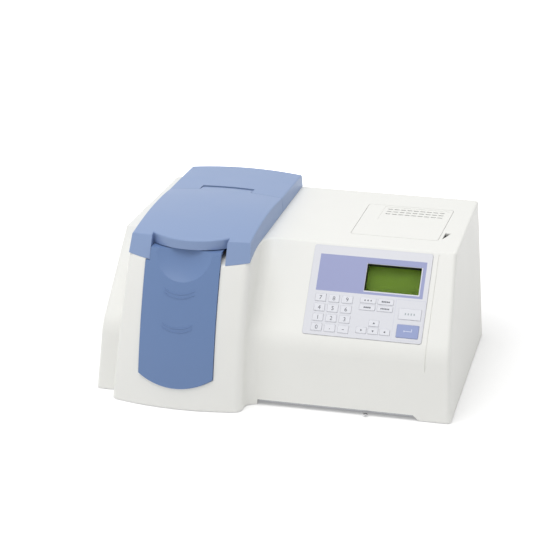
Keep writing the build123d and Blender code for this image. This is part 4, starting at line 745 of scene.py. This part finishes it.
class SPECTRO_OT_panel_return(bpy.types.Operator):
    """Turn the blue panel's top edge back under the lid's curved lip"""

    bl_idname = "spectro.panel_return"
    bl_label = "Panel Return"

    def execute(self, context):
        middle = (RETURN_LOW + RETURN_HIGH) / 2
        depth = RETURN_HIGH - RETURN_LOW
        deselect_all()
        bpy.ops.mesh.primitive_cone_add(
            vertices=720, radius1=RETURN_BOTTOM_RADIUS, radius2=RETURN_TOP_RADIUS, depth=depth,
            location=(*BOW_AXIS, middle))
        piece = bpy.context.object
        left, right = RETURN_SIDES
        cut_by(piece, block_piece((left, LIP_AXIS[1] - 2 * RETURN_INNER_RADIUS, RETURN_LOW - depth),
                                  (right, RETURN_BACK, RETURN_HIGH + depth)), "INTERSECT")
        deselect_all()
        bpy.ops.mesh.primitive_cylinder_add(
            vertices=256, radius=RETURN_INNER_RADIUS, depth=4 * depth, location=(*LIP_AXIS, middle))
        cut_by(piece, context.object)
        deselect_all()
        bpy.ops.mesh.primitive_uv_sphere_add(
            segments=256, ring_count=128, radius=SCOOP_RADIUS, location=SCOOP_CENTRE)
        cut_by(piece, context.object)
        cut_by(piece, block_piece((left - depth, FLANGE_FRONT, RETURN_LOW - depth),
                                  (right + depth, LIP_AXIS[1], FLANGE_TOP)))
        deselect_all()
        piece.select_set(True)
        context.view_layer.objects.active = piece
        bpy.ops.object.shade_smooth_by_angle(angle=radians(30.0))
        settle(piece, "panel_return", piece.matrix_world.copy(),
               bpy.data.materials["Blue Panel Plastic"], INSTRUMENT)
        return {"FINISHED"}


class SPECTRO_OT_key_legends(bpy.types.Operator):
    """Print plain digits, arrows and generic signs on the keys"""

    bl_idname = "spectro.key_legends"
    bl_label = "Key Legends"

    def execute(self, context):
        settings = context.scene.spectro_panel
        thick = settings.print_height
        ink = moulded("Dark Grey Ink", linear(92, 94, 104), 0.45, bump=0.000006)
        pale = moulded("Pale Grey Ink", linear(178, 186, 190), 0.45, bump=0.000006)
        light = moulded("Light Ink", linear(214, 220, 240), 0.45, bump=0.000006)
        for key, words in SIGNS.items():
            printed_text("legend_" + key[4:], words, settings.digit_height, thick,
                         panel_place(top_face(key)[0]), ink, node_body(key))
        printed_bars("legend_point", [((0.0, -0.0012), (0.0009, 0.0009))], thick,
                     panel_place(top_face("key_point")[0]), ink, node_body("key_point"))
        printed_bars("legend_minus", [((0.0, -0.0006), (0.0026, 0.0007))], thick,
                     panel_place(top_face("key_minus")[0]), ink, node_body("key_minus"))
        for key, turn in ARROWS.items():
            head = arrow_head(ARROW_RADIUS, thick, turn)
            settle(head, "legend_" + key[4:], panel_place(top_face(key)[0]), ink, node_body(key))
        for key, (bars, size, pitch) in BAR_SIGNS.items():
            color = pale if key == "key_start" else ink
            first = -pitch * (bars - 1) / 2
            places = [((first + pitch * number, 0.0), size) for number in range(bars)]
            printed_bars("legend_" + key[4:], places, thick,
                         panel_place(top_face(key)[0]), color, node_body(key))
        stem = flat_piece(RETURN_STEM)
        bpy.ops.transform.translate(value=(RETURN_STEM[0] * 0.1, 0.0, 0.0))
        thicken(thick)
        hook = flat_piece(RETURN_HOOK)
        bpy.ops.transform.translate(
            value=(RETURN_STEM[0] * 0.6 - RETURN_HOOK[0] / 2, RETURN_HOOK[1] / 2, 0.0))
        thicken(thick)
        tip = arrow_head(ARROW_RADIUS, thick, pi / 2, (-RETURN_STEM[0] * 0.45, 0.0))
        settle(joined([stem, hook, tip]), "legend_enter", panel_place(top_face("key_enter")[0]),
               light, node_body("key_enter"))
        return {"FINISHED"}


class SPECTRO_OT_fasteners(bpy.types.Operator):
    """Screw the rear wall, the fan and the base with small cross-head screws"""

    bl_idname = "spectro.fasteners"
    bl_label = "Rear and Base Screws"

    def execute(self, context):
        steel = metal("Ground Steel", linear(176, 176, 178), 0.22, stretch=(900.0, 8.0, 900.0))
        housing_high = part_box("main_housing")[1]
        plate_low, plate_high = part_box("rear_panel")
        tray_low, tray_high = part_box("base_tray")
        fan_low, fan_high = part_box("fan_frame")
        fan_x = (fan_low.x + fan_high.x) / 2
        fan_z = (fan_low.z + fan_high.z) / 2
        fan_half = (fan_high.x - fan_low.x) / 2 - FAN_SCREW_INSET
        spots = []
        for side in (-1.0, 1.0):
            for part in (0.3, 0.96):
                spots.append((Vector((side * (plate_high.x - SCREW_EDGE), housing_high.y,
                                      plate_low.z + part * (plate_high.z - plate_low.z))), "back"))
            for up in (-1.0, 1.0):
                spots.append((Vector((fan_x + side * fan_half, plate_high.y, fan_z + up * fan_half)),
                              "back"))
            for back in (-1.0, 1.0):
                middle_y = (tray_low.y + tray_high.y) / 2
                reach = (tray_high.y - tray_low.y) / 2 - BASE_SCREW_INSET
                spots.append((Vector((side * BASE_SCREW_X, middle_y + back * reach, tray_low.z)),
                              "down"))
        for number, (spot, facing) in enumerate(spots):
            turn = radians(SCREW_TURN * number)
            if facing == "back":
                axes = Matrix.Rotation(-pi / 2, 4, "X")
            else:
                axes = Matrix.Rotation(pi, 4, "X")
            place = Matrix.Translation(spot) @ axes @ Matrix.Rotation(turn, 4, "Z")
            settle(screw_head(), "screw_" + str(number + 1), place, steel, INSTRUMENT)
        return {"FINISHED"}


class SPECTRO_OT_studio(bpy.types.Operator):
    """Build the plain floor, the soft lights and the camera"""

    bl_idname = "spectro.studio"
    bl_label = "Studio"

    def execute(self, context):
        settings = context.scene.spectro_studio
        deselect_all()
        bpy.ops.mesh.primitive_plane_add(size=FLOOR_SIZE, location=(0.0, 0.0, 0.0))
        floor = context.object
        floor.name = "floor"
        floor.data.materials.append(floor_material(settings.floor_glow))
        world = bpy.data.worlds.new("Studio World")
        context.scene.world = world
        world.use_nodes = True
        nodes, links = world.node_tree.nodes, world.node_tree.links
        light = nodes["Background"]
        light.inputs["Color"].default_value = (1.0, 1.0, 1.0, 1.0)
        light.inputs["Strength"].default_value = settings.ambient
        backdrop = nodes.new("ShaderNodeBackground")
        backdrop.inputs["Color"].default_value = (1.0, 1.0, 1.0, 1.0)
        backdrop.inputs["Strength"].default_value = 1.0
        mix = nodes.new("ShaderNodeMixShader")
        links.new(seen_factor(nodes, links), mix.inputs["Fac"])
        links.new(light.outputs[0], mix.inputs[1])
        links.new(backdrop.outputs[0], mix.inputs[2])
        links.new(mix.outputs[0], nodes["World Output"].inputs["Surface"])
        soft_light("key_light", KEY_LIGHT, settings.key_power)
        soft_light("fill_light", FILL_LIGHT, settings.fill_power)
        target = Vector(settings.target)
        toward = Vector((
            sin(settings.azimuth) * cos(settings.elevation),
            -cos(settings.azimuth) * cos(settings.elevation),
            sin(settings.elevation)))
        bpy.ops.object.camera_add(location=target + toward * settings.distance)
        camera = context.object
        camera.name = "camera"
        camera.rotation_euler = toward.to_track_quat("Z", "Y").to_euler()
        camera.data.sensor_fit = "HORIZONTAL"
        camera.data.sensor_width = 36.0
        camera.data.lens = settings.lens
        camera.data.clip_end = 50.0
        context.scene.camera = camera
        context.scene.view_settings.view_transform = "Standard"
        return {"FINISHED"}


class SPECTRO_PT_panel(bpy.types.Panel):
    """The instrument's settings and its steps, in the order in which they run"""

    bl_label = "Benchtop Spectrophotometer"
    bl_idname = "SPECTRO_PT_panel"
    bl_space_type = "VIEW_3D"
    bl_region_type = "UI"
    bl_category = "Spectrophotometer"

    def draw(self, context):
        scene = context.scene
        for settings in (scene.spectro_housing, scene.spectro_panel, scene.spectro_studio):
            box = self.layout.box()
            for name in settings.bl_rna.properties.keys():
                if name not in ("rna_type", "name"):
                    box.prop(settings, name)
        for step in STEPS:
            self.layout.operator(step.bl_idname)


SETTINGS = (SpectroHousingSettings, SpectroPanelSettings, SpectroStudioSettings)
STEPS = (SPECTRO_OT_housing_finish, SPECTRO_OT_panel_finish, SPECTRO_OT_inner_finish,
         SPECTRO_OT_panel_return, SPECTRO_OT_panel_print, SPECTRO_OT_key_legends,
         SPECTRO_OT_fasteners, SPECTRO_OT_studio)


def register():
    for item in SETTINGS + STEPS + (SPECTRO_PT_panel,):
        bpy.utils.register_class(item)
    bpy.types.Scene.spectro_housing = bpy.props.PointerProperty(type=SpectroHousingSettings)
    bpy.types.Scene.spectro_panel = bpy.props.PointerProperty(type=SpectroPanelSettings)
    bpy.types.Scene.spectro_studio = bpy.props.PointerProperty(type=SpectroStudioSettings)


def unregister():
    del bpy.types.Scene.spectro_studio
    del bpy.types.Scene.spectro_panel
    del bpy.types.Scene.spectro_housing
    for item in reversed(SETTINGS + STEPS + (SPECTRO_PT_panel,)):
        bpy.utils.unregister_class(item)


def main():
    register()
    bpy.ops.spectro.housing_finish()
    bpy.ops.spectro.panel_finish()
    bpy.ops.spectro.inner_finish()
    bpy.ops.spectro.panel_return()
    bpy.ops.spectro.panel_print()
    bpy.ops.spectro.key_legends()
    bpy.ops.spectro.fasteners()
    bpy.ops.spectro.studio()


if __name__ == "__main__":
    main()
